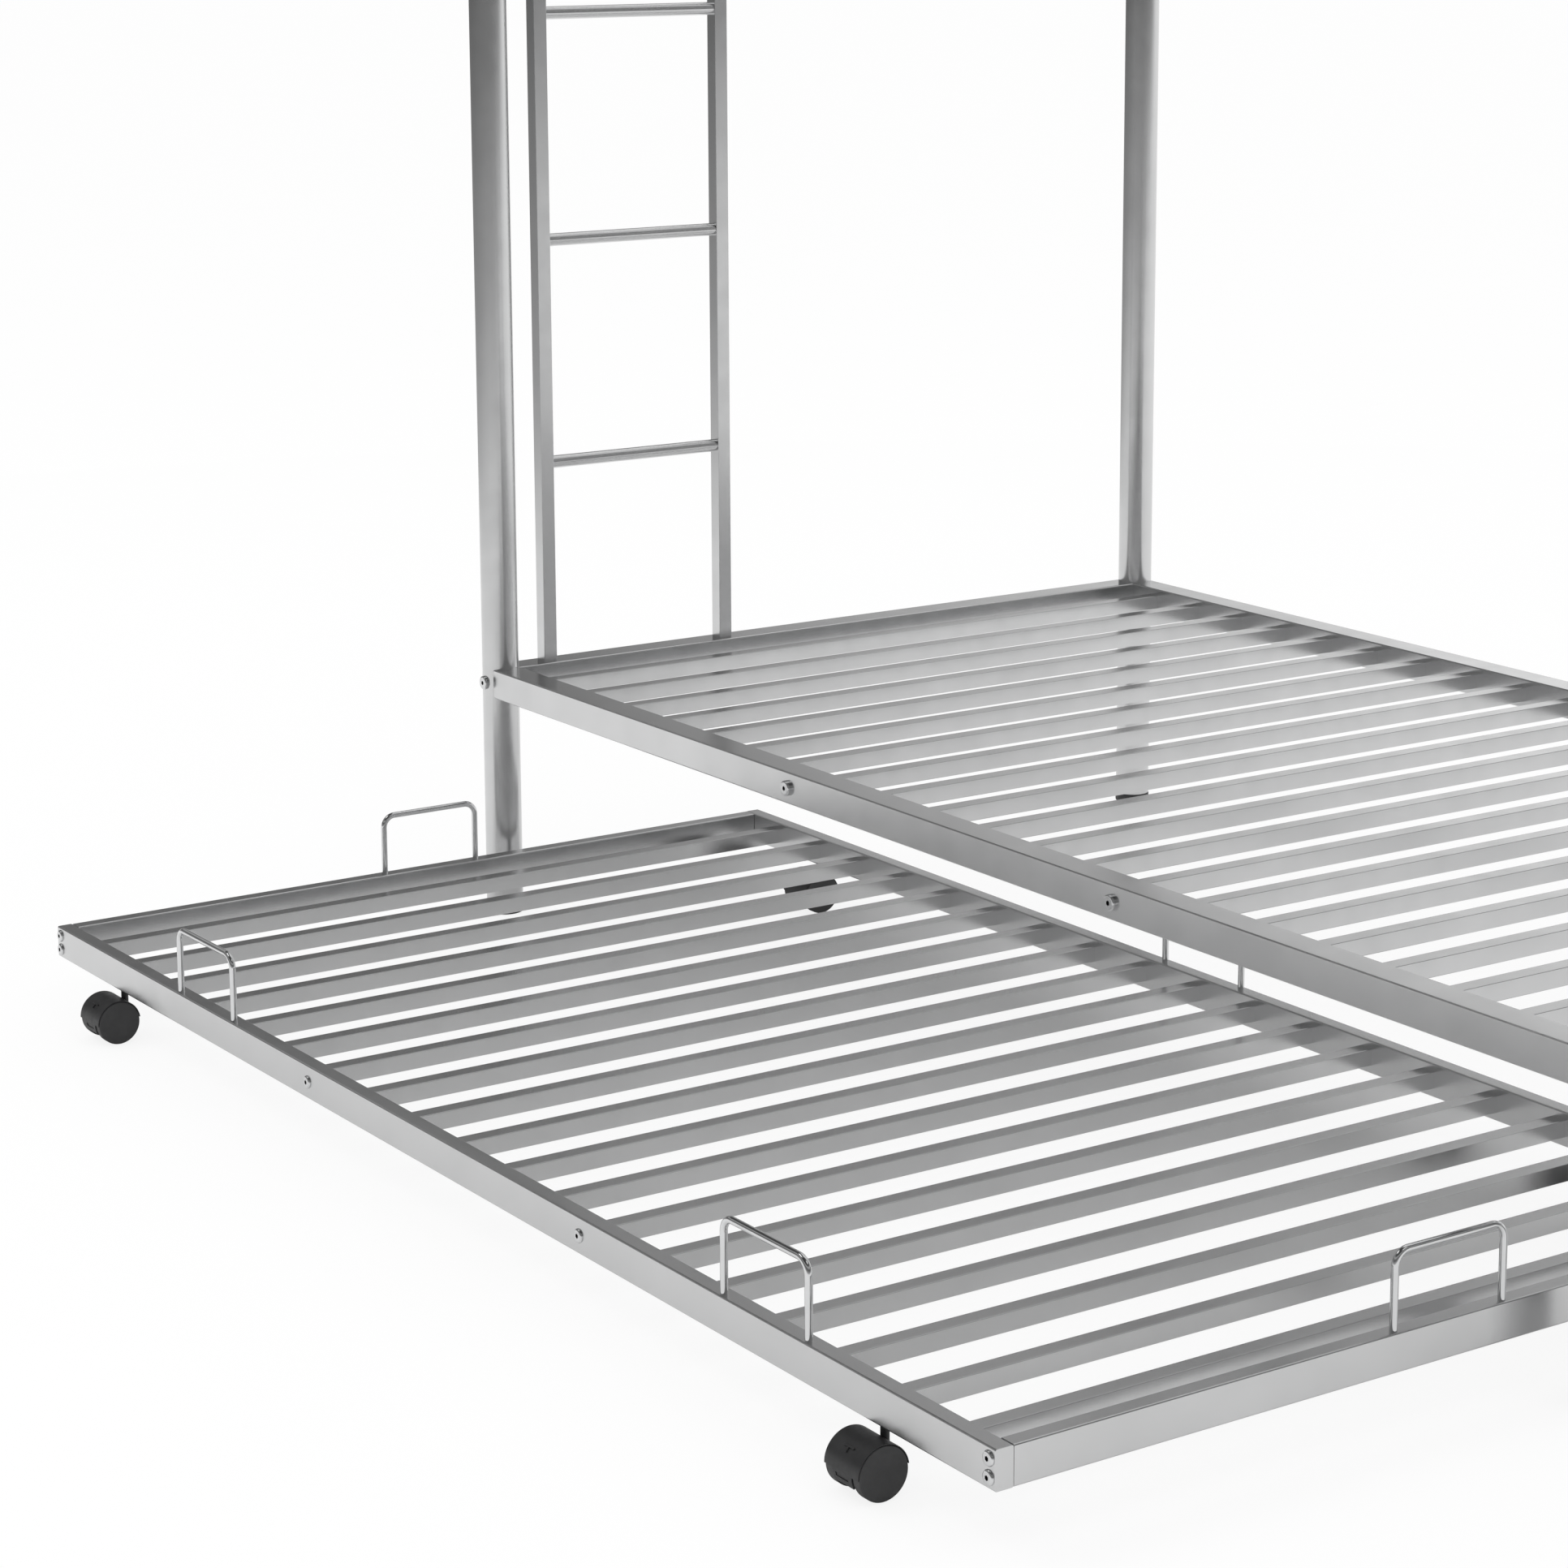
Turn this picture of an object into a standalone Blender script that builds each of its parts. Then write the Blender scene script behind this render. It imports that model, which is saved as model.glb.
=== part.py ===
"""Twin bunk bed in steel tube with a roll-out trundle on casters.

Metres, +Z up, +X along the bed, +Y towards the back. The origin lies on the floor, in the middle
of the bed's box with the trundle pulled out to the front.
"""
import math

import bmesh
import bpy
from mathutils import Matrix, Vector

NAME = "bunk_bed_with_trundle"

# Fits shared by every piece
CLEARANCE = 0.0003
RUNNING_GAP = 0.0004
CUT_OVERRUN = 0.004
MERGE_DISTANCE = 0.00005
SHARP_ANGLE = math.radians(35)

# Bunk posts
POST_SPACING_X = 1.909
POST_SPACING_Y = 1.003
POST_DIAMETER = 0.045
POST_WALL = 0.0015
POST_SIDES = 24

# Plastic plugs in the ends of the posts
FOOT_RIM_DIAMETER = 0.046
FOOT_RIM_HEIGHT = 0.012
PLUG_LENGTH = 0.028
TOP_CAP_RISE = 0.008
TOP_CAP_CROWN_SHARES = (0.7, 0.25)
CAP_EDGE = 0.0025

# Sleeping decks of the bunk
LOWER_DECK_TOP = 0.3127
UPPER_DECK_TOP = 1.4025
DECK_RAIL_SIZE = 0.036
DECK_SLAT_COUNT = 21
SLAT_SIZE = 0.018
TUBE_CORNER = 0.0012

# Ladder on the left end
LADDER_INSET = 0.0667
LADDER_SPACING = 0.2585
LADDER_STILE_SIZE = 0.018
RUNG_DIAMETER = 0.0155
RUNG_COUNT = 3
FIRST_RUNG_RISE = 0.2488
RUNG_SIDES = 16

# Guard rails of the upper deck
GUARD_TUBE_DIAMETER = 0.025
GUARD_BAR_DIAMETER = 0.016
GUARD_UPRIGHT_DIAMETER = 0.019
GUARD_RISE = 0.2475
GUARD_DROP = 0.030
GUARD_BAR_COUNT = 2
LONG_GUARD_UPRIGHT_COUNT = 5
END_GUARD_UPRIGHT_COUNT = 2
CLIMB_GAP = 0.400
GUARD_BEND_RADIUS = 0.060
GUARD_BEND_STEPS = 6
GUARD_SIDES = 12
GUARD_CURVE_RESOLUTION = 4

# Trundle frame, which stands this far from the posts at its ends and at its back when pushed in
TRUNDLE_END_GAP = 0.0292
TRUNDLE_BACK_GAP = 0.0416
TRUNDLE_TOP = 0.0915
TRUNDLE_RAIL_HEIGHT = 0.0355
TRUNDLE_RAIL_WIDTH = 0.018
TRUNDLE_SLAT_COUNT = 19
TRUNDLE_PULL_OUT = 0.5935

# Wire hoops that hold the trundle's mattress
LONG_SIDE_HOOP_WIDTH = 0.130
END_HOOP_WIDTH = 0.124
HOOP_RISE = 0.070
HOOP_WIRE = 0.007
HOOP_BEND_RADIUS = 0.014
HOOP_BEND_STEPS = 4
HOOP_CURVE_RESOLUTION = 3
HOOP_INSET = 0.0065
FRONT_HOOP_SHARES = (0.213, 0.8155)
BACK_HOOP_SHARE = 0.5
END_HOOP_SHARE = 0.5

# Casters
CASTER_INSET = 0.1617
CASTER_TRAIL = 0.018
WHEEL_DIAMETER = 0.048
WHEEL_SHOULDER = 0.0015
WHEEL_FACE_WALL = 0.004
WHEEL_STEPS = 20
CASTER_WIDTH = 0.0494
HOOD_WALL = 0.0010
HOOD_SETBACK = 0.0005
HOOD_BACK_ANGLE = math.radians(8)
HOOD_FRONT_ANGLE = math.radians(181)
HOOD_STEPS = 14
CORE_WIDTH = 0.028
CORE_BACK_ANGLE = math.radians(4)
CORE_FRONT_ANGLE = math.radians(208)
CORE_LOWER_RADIUS = 0.0205
CORE_LOWER_STEPS = 7
AXLE_DIAMETER = 0.006
STEM_DIAMETER = 0.0078
STEM_GRIP = 0.024
STEM_SIDES = 12
SOCKET_WALL = 0.0018
SOCKET_LENGTH = 0.026
TAB_ANGLE = math.radians(136)
TAB_WIDTH = 0.0140
TAB_LENGTH = 0.0062
TAB_THICKNESS = 0.0016
TAB_TIP_SHARE = 0.75
TAB_RISE = 0.0012
WINDOW_ANGLE = math.radians(191)
WINDOW_WIDTH = 0.0180
WINDOW_HEIGHT = 0.0036
WINDOW_DEPTH = 0.0012

# Finishes: colour, roughness, metallic
SILVER_PAINT = ((0.60, 0.61, 0.62), 0.38, 0.85)
BRIGHT_WIRE = ((0.70, 0.71, 0.72), 0.25, 1.0)
BLACK_PLASTIC = ((0.030, 0.030, 0.032), 0.50, 0.0)
GREY_PLASTIC = ((0.25, 0.25, 0.26), 0.55, 0.0)

# Places worked out from the sizes above
POST_RADIUS = POST_DIAMETER / 2
WHEEL_RADIUS = WHEEL_DIAMETER / 2
STEM_RADIUS = STEM_DIAMETER / 2
HOOD_INNER_RADIUS = WHEEL_RADIUS + RUNNING_GAP
HOOD_RADIUS = HOOD_INNER_RADIUS + HOOD_WALL
BUNK_BACK = POST_SPACING_Y / 2 + POST_RADIUS
GUARD_TOP = UPPER_DECK_TOP + GUARD_RISE
POST_TOP = GUARD_TOP + GUARD_DROP
TRUNDLE_LENGTH = POST_SPACING_X - POST_DIAMETER - 2 * TRUNDLE_END_GAP
TRUNDLE_WIDTH = POST_SPACING_Y - TRUNDLE_BACK_GAP
TRUNDLE_FRONT = -BUNK_BACK - TRUNDLE_PULL_OUT
CASTER_OVERHANG = CASTER_TRAIL + HOOD_RADIUS - TRUNDLE_RAIL_WIDTH / 2
BED_CENTRE = (TRUNDLE_FRONT - CASTER_OVERHANG + BUNK_BACK) / 2
BUNK_Y = -BED_CENTRE
TRUNDLE_Y = TRUNDLE_FRONT + TRUNDLE_WIDTH / 2 - BED_CENTRE
LEFT_X = -POST_SPACING_X / 2
RIGHT_X = POST_SPACING_X / 2
FRONT_Y = BUNK_Y - POST_SPACING_Y / 2
BACK_Y = BUNK_Y + POST_SPACING_Y / 2
DECK_CLEAR_LENGTH = POST_SPACING_X - DECK_RAIL_SIZE
TRUNDLE_BASE = TRUNDLE_TOP - TRUNDLE_RAIL_HEIGHT
TRUNDLE_MIDDLE = TRUNDLE_TOP - TRUNDLE_RAIL_HEIGHT / 2
POSTS = {
    "front_left": (LEFT_X, FRONT_Y),
    "back_left": (LEFT_X, BACK_Y),
    "front_right": (RIGHT_X, FRONT_Y),
    "back_right": (RIGHT_X, BACK_Y),
}


def start_scene():
    """Empty the scene and make one collection for the parts and one for the cutters."""
    for scene_object in list(bpy.data.objects):
        bpy.data.objects.remove(scene_object, do_unlink=True)
    groups = []
    for title in (NAME, "cutters"):
        group = bpy.data.collections.new(title)
        bpy.context.scene.collection.children.link(group)
        groups.append(group)
    return groups


PARTS, CUTTERS = start_scene()


def add_part(name, data, finish, location=(0, 0, 0), parent=None):
    """Put a finished mesh or curve in the parts collection with a material of its own."""
    colour, roughness, metallic = finish
    material = bpy.data.materials.new(name + "_finish")
    material.use_nodes = True
    shader = material.node_tree.nodes["Principled BSDF"]
    shader.inputs["Base Color"].default_value = (*colour, 1)
    shader.inputs["Roughness"].default_value = roughness
    shader.inputs["Metallic"].default_value = metallic
    data.materials.append(material)
    part = bpy.data.objects.new(name, data)
    PARTS.objects.link(part)
    part.location = location
    part.parent = parent
    return part


def add_cutter(name, data, location=(0, 0, 0), parent=None):
    """Put a shape that cuts or joins others in the cutters collection."""
    cutter = bpy.data.objects.new(name, data)
    CUTTERS.objects.link(cutter)
    cutter.location = location
    cutter.parent = parent
    cutter.hide_render = True
    cutter.display_type = "WIRE"
    return cutter


def add_pivot(name, location, parent=None):
    """An empty on a joint's axis."""
    pivot = bpy.data.objects.new(name, None)
    PARTS.objects.link(pivot)
    pivot.location = location
    pivot.parent = parent
    return pivot


def boxes_mesh(name, boxes):
    """A mesh of boxes, each given by its centre and its size."""
    shape = bmesh.new()
    for centre, size in boxes:
        place = Matrix.Translation(centre) @ Matrix.Diagonal((*size, 1))
        bmesh.ops.create_cube(shape, size=1, matrix=place)
    mesh = bpy.data.meshes.new(name)
    shape.to_mesh(mesh)
    shape.free()
    return mesh


def rods_mesh(name, rods, sides):
    """A mesh of round bars, each given by its two ends and its diameter."""
    shape = bmesh.new()
    for start, end, diameter in rods:
        start = Vector(start)
        line = Vector(end) - start
        turn = line.to_track_quat("Z", "Y").to_matrix().to_4x4()
        place = Matrix.Translation(start + line / 2) @ turn
        bmesh.ops.create_cone(shape, cap_ends=True, segments=sides, radius1=diameter / 2,
                              radius2=diameter / 2, depth=line.length, matrix=place)
    mesh = bpy.data.meshes.new(name)
    shape.to_mesh(mesh)
    shape.free()
    smooth(mesh)
    return mesh


def smooth(mesh):
    """Shade the round faces smooth and keep the square edges sharp."""
    mesh.shade_smooth()
    mesh.set_sharp_from_angle(angle=SHARP_ANGLE)


def round_edges(part, radius):
    """The rolled corners of a square tube."""
    bevel = part.modifiers.new("rolled_corners", "BEVEL")
    bevel.width = radius
    bevel.segments = 1
    bevel.limit_method = "ANGLE"
    return part


def combine(part, operation, tool):
    """Join another shape to the part, or cut it away."""
    step = part.modifiers.new(tool.name, "BOOLEAN")
    step.operation = operation
    step.solver = "EXACT"
    step.object = tool
    return part


def turned_mesh(name, profile, closed=False):
    """The half section of a turned piece, down its outer side, ready for a Screw modifier."""
    mesh = bpy.data.meshes.new(name)
    vertices = [(radius, 0, height) for radius, height in profile]
    edges = [(index, index + 1) for index in range(len(profile) - 1)]
    if closed:
        edges.append((len(profile) - 1, 0))
    mesh.from_pydata(vertices, edges, [])
    return mesh


def spin(part, steps):
    """Turn the half section about the part's own Z axis."""
    screw = part.modifiers.new("turned", "SCREW")
    screw.steps = steps
    screw.render_steps = steps
    screw.use_smooth_shade = True
    screw.use_merge_vertices = True
    screw.merge_threshold = MERGE_DISTANCE
    return part


def arc(centre, radius, start, end, steps):
    """Points on an arc, from one angle to another, ends included."""
    points = []
    for step in range(steps + 1):
        angle = start + (end - start) * step / steps
        points.append((centre[0] + radius * math.cos(angle), centre[1] + radius * math.sin(angle)))
    return points


def tube_curve(name, points, diameter, resolution):
    """A bent tube or wire with filled ends along straight runs and arcs."""
    curve = bpy.data.curves.new(name, "CURVE")
    curve.dimensions = "3D"
    curve.bevel_depth = diameter / 2
    curve.bevel_resolution = resolution
    curve.use_fill_caps = True
    spline = curve.splines.new("POLY")
    spline.points.add(len(points) - 1)
    for control, point in zip(spline.points, points):
        control.co = (*point, 1)
    return curve


def outline_curve(name, points, thickness):
    """A flat closed outline, filled and given its thickness."""
    curve = bpy.data.curves.new(name, "CURVE")
    curve.dimensions = "2D"
    curve.fill_mode = "BOTH"
    curve.extrude = thickness / 2
    spline = curve.splines.new("POLY")
    spline.points.add(len(points) - 1)
    for control, point in zip(spline.points, points):
        control.co = (*point, 0, 1)
    spline.use_cyclic_u = True
    return curve


def mesh_from_curve(curve):
    """Make a curve a closed mesh, so that it can be cut and joined."""
    guide = bpy.data.objects.new(curve.name, curve)
    CUTTERS.objects.link(guide)
    graph = bpy.context.evaluated_depsgraph_get()
    mesh = bpy.data.meshes.new_from_object(guide.evaluated_get(graph))
    bpy.data.objects.remove(guide)
    shape = bmesh.new()
    shape.from_mesh(mesh)
    bmesh.ops.remove_doubles(shape, verts=shape.verts, dist=MERGE_DISTANCE)
    bmesh.ops.recalc_face_normals(shape, faces=shape.faces)
    shape.to_mesh(mesh)
    shape.free()
    smooth(mesh)
    return mesh


# Posts with their plugs

def build_posts():
    """Four full-height round tubes, each standing on a black foot plug and closed by a cap."""
    bore = POST_RADIUS - POST_WALL
    plug = bore - CLEARANCE
    foot_rim = FOOT_RIM_DIAMETER / 2
    tube_base = FOOT_RIM_HEIGHT + CLEARANCE
    dome_width, dome_drop = TOP_CAP_CROWN_SHARES
    for corner, (x, y) in POSTS.items():
        tube = [(POST_RADIUS, POST_TOP), (POST_RADIUS, tube_base), (bore, tube_base), (bore, POST_TOP)]
        post = add_part("post_" + corner, turned_mesh("post_" + corner, tube, closed=True),
                        SILVER_PAINT, (x, y, 0))
        spin(post, POST_SIDES)

        foot = [(0, FOOT_RIM_HEIGHT + PLUG_LENGTH), (plug, FOOT_RIM_HEIGHT + PLUG_LENGTH),
                (plug, FOOT_RIM_HEIGHT), (foot_rim, FOOT_RIM_HEIGHT), (foot_rim, CAP_EDGE),
                (foot_rim - CAP_EDGE, 0), (0, 0)]
        foot_plug = add_part("foot_plug_" + corner, turned_mesh("foot_plug_" + corner, foot),
                             BLACK_PLASTIC, (x, y, 0))
        spin(foot_plug, POST_SIDES)

        seat = POST_TOP + CLEARANCE
        crown = POST_TOP + TOP_CAP_RISE
        cap = [(0, crown), (POST_RADIUS * dome_width, crown - TOP_CAP_RISE * dome_drop),
               (POST_RADIUS, seat + CAP_EDGE), (POST_RADIUS, seat), (plug, seat),
               (plug, POST_TOP - PLUG_LENGTH), (0, POST_TOP - PLUG_LENGTH)]
        top_cap = add_part("top_cap_" + corner, turned_mesh("top_cap_" + corner, cap),
                           BLACK_PLASTIC, (x, y, 0))
        spin(top_cap, POST_SIDES)


def post_clearance():
    """Round bars a little thicker than the posts, which cope the ends of what meets them."""
    rods = [((x, y, -CUT_OVERRUN), (x, y, POST_TOP + CUT_OVERRUN), POST_DIAMETER + 2 * CLEARANCE)
            for x, y in POSTS.values()]
    return add_cutter("post_clearance", rods_mesh("post_clearance", rods, POST_SIDES))


# Decks

def slat_boxes(count, clear_length, start_y, end_y, height):
    """Square slats spread evenly along a deck, with half a pitch left at each end."""
    pitch = clear_length / count
    boxes = []
    for index in range(count):
        x = (index + 0.5) * pitch - clear_length / 2
        size = (SLAT_SIZE, end_y - start_y, SLAT_SIZE)
        boxes.append(((x, (start_y + end_y) / 2, height), size))
    return boxes


def build_deck(level, top, coping):
    """One sleeping deck: two long rails, two end rails and its slats, all coped to the posts."""
    middle = top - DECK_RAIL_SIZE / 2
    half = DECK_RAIL_SIZE / 2
    long_size = (POST_SPACING_X, DECK_RAIL_SIZE, DECK_RAIL_SIZE)
    end_size = (DECK_RAIL_SIZE, POST_SPACING_Y, DECK_RAIL_SIZE)
    here = (0, 0, 0)

    name = level + "_front_rail"
    front_rail = add_part(name, boxes_mesh(name, [(here, long_size)]), SILVER_PAINT, (0, FRONT_Y, middle))
    round_edges(front_rail, TUBE_CORNER)
    combine(front_rail, "DIFFERENCE", coping)

    slats = slat_boxes(DECK_SLAT_COUNT, DECK_CLEAR_LENGTH, FRONT_Y + half + CLEARANCE, BACK_Y, middle)
    slat_set = add_cutter(level + "_slats", boxes_mesh(level + "_slats", slats))
    round_edges(slat_set, TUBE_CORNER)
    name = level + "_back_rail_with_slats"
    back_rail = add_part(name, boxes_mesh(name, [(here, long_size)]), SILVER_PAINT, (0, BACK_Y, middle))
    round_edges(back_rail, TUBE_CORNER)
    combine(back_rail, "UNION", slat_set)
    combine(back_rail, "DIFFERENCE", coping)

    room = (POST_SPACING_X, DECK_RAIL_SIZE + 2 * CLEARANCE, DECK_RAIL_SIZE + 2 * CUT_OVERRUN)
    rail_room = add_cutter(level + "_long_rail_room", boxes_mesh(level + "_long_rail_room", [
        ((0, FRONT_Y, middle), room), ((0, BACK_Y, middle), room)]))
    for side, x in (("left", LEFT_X), ("right", RIGHT_X)):
        name = level + "_" + side + "_rail"
        end_rail = add_part(name, boxes_mesh(name, [(here, end_size)]), SILVER_PAINT, (x, BUNK_Y, middle))
        round_edges(end_rail, TUBE_CORNER)
        combine(end_rail, "DIFFERENCE", rail_room)
        combine(end_rail, "DIFFERENCE", coping)


# Ladder

def build_ladder():
    """Two square stiles that stand on the lower end rail and reach the upper one, with rungs."""
    base = LOWER_DECK_TOP + CLEARANCE
    head = UPPER_DECK_TOP - DECK_RAIL_SIZE - CLEARANCE
    first = FRONT_Y + LADDER_INSET
    second = first + LADDER_SPACING
    size = (LADDER_STILE_SIZE, LADDER_STILE_SIZE, head - base)
    for side, y in (("front", first), ("back", second)):
        name = "ladder_stile_" + side
        stile = add_part(name, boxes_mesh(name, [((0, 0, 0), size)]), SILVER_PAINT,
                         (LEFT_X, y, (base + head) / 2))
        round_edges(stile, TUBE_CORNER)

    half = LADDER_SPACING / 2 - LADDER_STILE_SIZE / 2 - CLEARANCE
    lowest = LOWER_DECK_TOP + FIRST_RUNG_RISE
    rise = (UPPER_DECK_TOP - DECK_RAIL_SIZE / 2 - lowest) / RUNG_COUNT
    for index in range(RUNG_COUNT):
        name = "ladder_rung_" + str(index + 1)
        mesh = rods_mesh(name, [((0, -half, 0), (0, half, 0), RUNG_DIAMETER)], RUNG_SIDES)
        add_part(name, mesh, SILVER_PAINT, (LEFT_X, (first + second) / 2, lowest + index * rise))


# Guard rails

def bar_heights():
    """Heights of the bars between the upper deck and the top tube of the guard."""
    pitch = (GUARD_TOP - UPPER_DECK_TOP) / (GUARD_BAR_COUNT + 1)
    return [UPPER_DECK_TOP + pitch * (index + 1) for index in range(GUARD_BAR_COUNT)]


def build_straight_guard(name, start, end, uprights, coping):
    """A guard from post to post: top tube, lower bars and short uprights on the deck rail."""
    line = Vector(end) - Vector(start)
    top = [((*start, GUARD_TOP), (*end, GUARD_TOP), GUARD_TUBE_DIAMETER)]
    guard = add_part(name, rods_mesh(name, top, GUARD_SIDES), SILVER_PAINT)

    bars = [((*start, height), (*end, height), GUARD_BAR_DIAMETER) for height in bar_heights()]
    combine(guard, "UNION", add_cutter(name + "_bars", rods_mesh(name + "_bars", bars, GUARD_SIDES)))
    posts = []
    for index in range(uprights):
        x, y = Vector(start) + line * (index + 0.5) / uprights
        foot = (x, y, UPPER_DECK_TOP + CLEARANCE)
        posts.append((foot, (x, y, GUARD_TOP), GUARD_UPRIGHT_DIAMETER))
    upright_set = add_cutter(name + "_uprights", rods_mesh(name + "_uprights", posts, GUARD_SIDES))
    combine(guard, "UNION", upright_set)
    combine(guard, "DIFFERENCE", coping)


def build_ladder_guard(coping):
    """The guard over the ladder end: its top tube bends down and leaves a gap to climb through."""
    name = "guard_left"
    gap_edge = FRONT_Y + CLIMB_GAP
    bend = (gap_edge + GUARD_BEND_RADIUS, GUARD_TOP - GUARD_BEND_RADIUS)
    path = [(BACK_Y, GUARD_TOP)]
    path += arc(bend, GUARD_BEND_RADIUS, math.pi / 2, math.pi, GUARD_BEND_STEPS)
    path.append((gap_edge, UPPER_DECK_TOP + CLEARANCE))
    points = [(LEFT_X, y, z) for y, z in path]
    tube = mesh_from_curve(tube_curve(name, points, GUARD_TUBE_DIAMETER, GUARD_CURVE_RESOLUTION))
    guard = add_part(name, tube, SILVER_PAINT)
    bars = [((LEFT_X, gap_edge, height), (LEFT_X, BACK_Y, height), GUARD_BAR_DIAMETER)
            for height in bar_heights()]
    combine(guard, "UNION", add_cutter(name + "_bars", rods_mesh(name + "_bars", bars, GUARD_SIDES)))
    combine(guard, "DIFFERENCE", coping)


def build_guards(coping):
    """All four sides of the upper deck."""
    for name, y in (("guard_front", FRONT_Y), ("guard_back", BACK_Y)):
        build_straight_guard(name, (LEFT_X, y), (RIGHT_X, y), LONG_GUARD_UPRIGHT_COUNT, coping)
    end = (RIGHT_X, BACK_Y)
    build_straight_guard("guard_right", (RIGHT_X, FRONT_Y), end, END_GUARD_UPRIGHT_COUNT, coping)
    build_ladder_guard(coping)


# Trundle

def caster_places():
    """Where the caster stems stand, under the middle of the trundle's long rails."""
    out = TRUNDLE_LENGTH / 2 - CASTER_INSET
    across = TRUNDLE_WIDTH / 2 - TRUNDLE_RAIL_WIDTH / 2
    return {"front_left": (-out, -across), "front_right": (out, -across),
            "back_left": (-out, across), "back_right": (out, across)}


def build_trundle_frame(trundle):
    """Long rails, end rails and slats, with a drilled seat for each caster."""
    height = TRUNDLE_MIDDLE
    across = TRUNDLE_WIDTH / 2 - TRUNDLE_RAIL_WIDTH / 2
    clear_length = TRUNDLE_LENGTH - 2 * TRUNDLE_RAIL_WIDTH
    long_size = (TRUNDLE_LENGTH, TRUNDLE_RAIL_WIDTH, TRUNDLE_RAIL_HEIGHT)
    end_width = TRUNDLE_WIDTH - 2 * TRUNDLE_RAIL_WIDTH - 2 * CLEARANCE
    end_size = (TRUNDLE_RAIL_WIDTH, end_width, TRUNDLE_RAIL_HEIGHT)
    here = (0, 0, 0)

    seat_diameter = STEM_DIAMETER + 2 * RUNNING_GAP + 2 * SOCKET_WALL + 2 * CLEARANCE
    seat_top = TRUNDLE_BASE + SOCKET_LENGTH + CLEARANCE
    seats = [((x, y, TRUNDLE_BASE - CUT_OVERRUN), (x, y, seat_top), seat_diameter)
             for x, y in caster_places().values()]
    seat_cutter = add_cutter("caster_seats", rods_mesh("caster_seats", seats, STEM_SIDES), parent=trundle)

    name = "trundle_front_rail"
    front_rail = add_part(name, boxes_mesh(name, [(here, long_size)]), SILVER_PAINT,
                          (0, -across, height), trundle)
    round_edges(front_rail, TUBE_CORNER)
    combine(front_rail, "DIFFERENCE", seat_cutter)

    start = -TRUNDLE_WIDTH / 2 + TRUNDLE_RAIL_WIDTH + CLEARANCE
    slats = slat_boxes(TRUNDLE_SLAT_COUNT, clear_length, start, across, height)
    slat_set = add_cutter("trundle_slats", boxes_mesh("trundle_slats", slats), parent=trundle)
    round_edges(slat_set, TUBE_CORNER)
    name = "trundle_back_rail_with_slats"
    back_rail = add_part(name, boxes_mesh(name, [(here, long_size)]), SILVER_PAINT,
                         (0, across, height), trundle)
    round_edges(back_rail, TUBE_CORNER)
    combine(back_rail, "UNION", slat_set)
    combine(back_rail, "DIFFERENCE", seat_cutter)

    for side, x in (("left", -1), ("right", 1)):
        name = "trundle_" + side + "_rail"
        place = (x * (TRUNDLE_LENGTH / 2 - TRUNDLE_RAIL_WIDTH / 2), 0, height)
        end_rail = add_part(name, boxes_mesh(name, [(here, end_size)]), SILVER_PAINT, place, trundle)
        round_edges(end_rail, TUBE_CORNER)


def hoop_curve(name, width):
    """A wire hoop that stands on its two legs, in the X-Z plane."""
    half = width / 2
    radius = HOOP_BEND_RADIUS
    bend_height = HOOP_RISE - radius
    path = [(-half, CLEARANCE)]
    path += arc((radius - half, bend_height), radius, math.pi, math.pi / 2, HOOP_BEND_STEPS)
    path += arc((half - radius, bend_height), radius, math.pi / 2, 0, HOOP_BEND_STEPS)
    path.append((half, CLEARANCE))
    return tube_curve(name, [(x, 0, z) for x, z in path], HOOP_WIRE, HOOP_CURVE_RESOLUTION)


def build_hoops(trundle):
    """Five hoops on the rails: two in front, one behind and one on each end."""
    out = TRUNDLE_LENGTH / 2 - HOOP_INSET
    across = TRUNDLE_WIDTH / 2 - HOOP_INSET
    first, second = (TRUNDLE_LENGTH * (share - 0.5) for share in FRONT_HOOP_SHARES)
    back = TRUNDLE_LENGTH * (BACK_HOOP_SHARE - 0.5)
    end = TRUNDLE_WIDTH * (END_HOOP_SHARE - 0.5)
    places = {
        "front_left": (first, -across, 0, LONG_SIDE_HOOP_WIDTH),
        "front_right": (second, -across, 0, LONG_SIDE_HOOP_WIDTH),
        "back": (back, across, 0, LONG_SIDE_HOOP_WIDTH),
        "left_end": (-out, end, math.pi / 2, END_HOOP_WIDTH),
        "right_end": (out, end, math.pi / 2, END_HOOP_WIDTH),
    }
    for label, (x, y, turn, width) in places.items():
        name = "mattress_hoop_" + label
        hoop = add_part(name, hoop_curve(name, width), BRIGHT_WIRE, (x, y, TRUNDLE_TOP), trundle)
        hoop.rotation_euler = (0, 0, turn)


def build_socket(label, place, trundle):
    """The plastic bush that lines a caster's seat in the rail."""
    bore = STEM_RADIUS + RUNNING_GAP
    outside = bore + SOCKET_WALL
    ring = [(outside, SOCKET_LENGTH), (outside, 0), (bore, 0), (bore, SOCKET_LENGTH)]
    name = "caster_socket_" + label
    socket = add_part(name, turned_mesh(name, ring, closed=True), GREY_PLASTIC,
                      (*place, TRUNDLE_BASE), trundle)
    spin(socket, STEM_SIDES)


def hood_mesh(name):
    """The moulded hood: an open arch over both wheels, seen along the axle."""
    outer = arc((0, 0), HOOD_RADIUS, HOOD_BACK_ANGLE, HOOD_FRONT_ANGLE, HOOD_STEPS)
    inner = arc((0, 0), HOOD_INNER_RADIUS, HOOD_FRONT_ANGLE, HOOD_BACK_ANGLE, HOOD_STEPS)
    width = CASTER_WIDTH - 2 * HOOD_SETBACK
    return mesh_from_curve(outline_curve(name, outer + inner, width))


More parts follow.
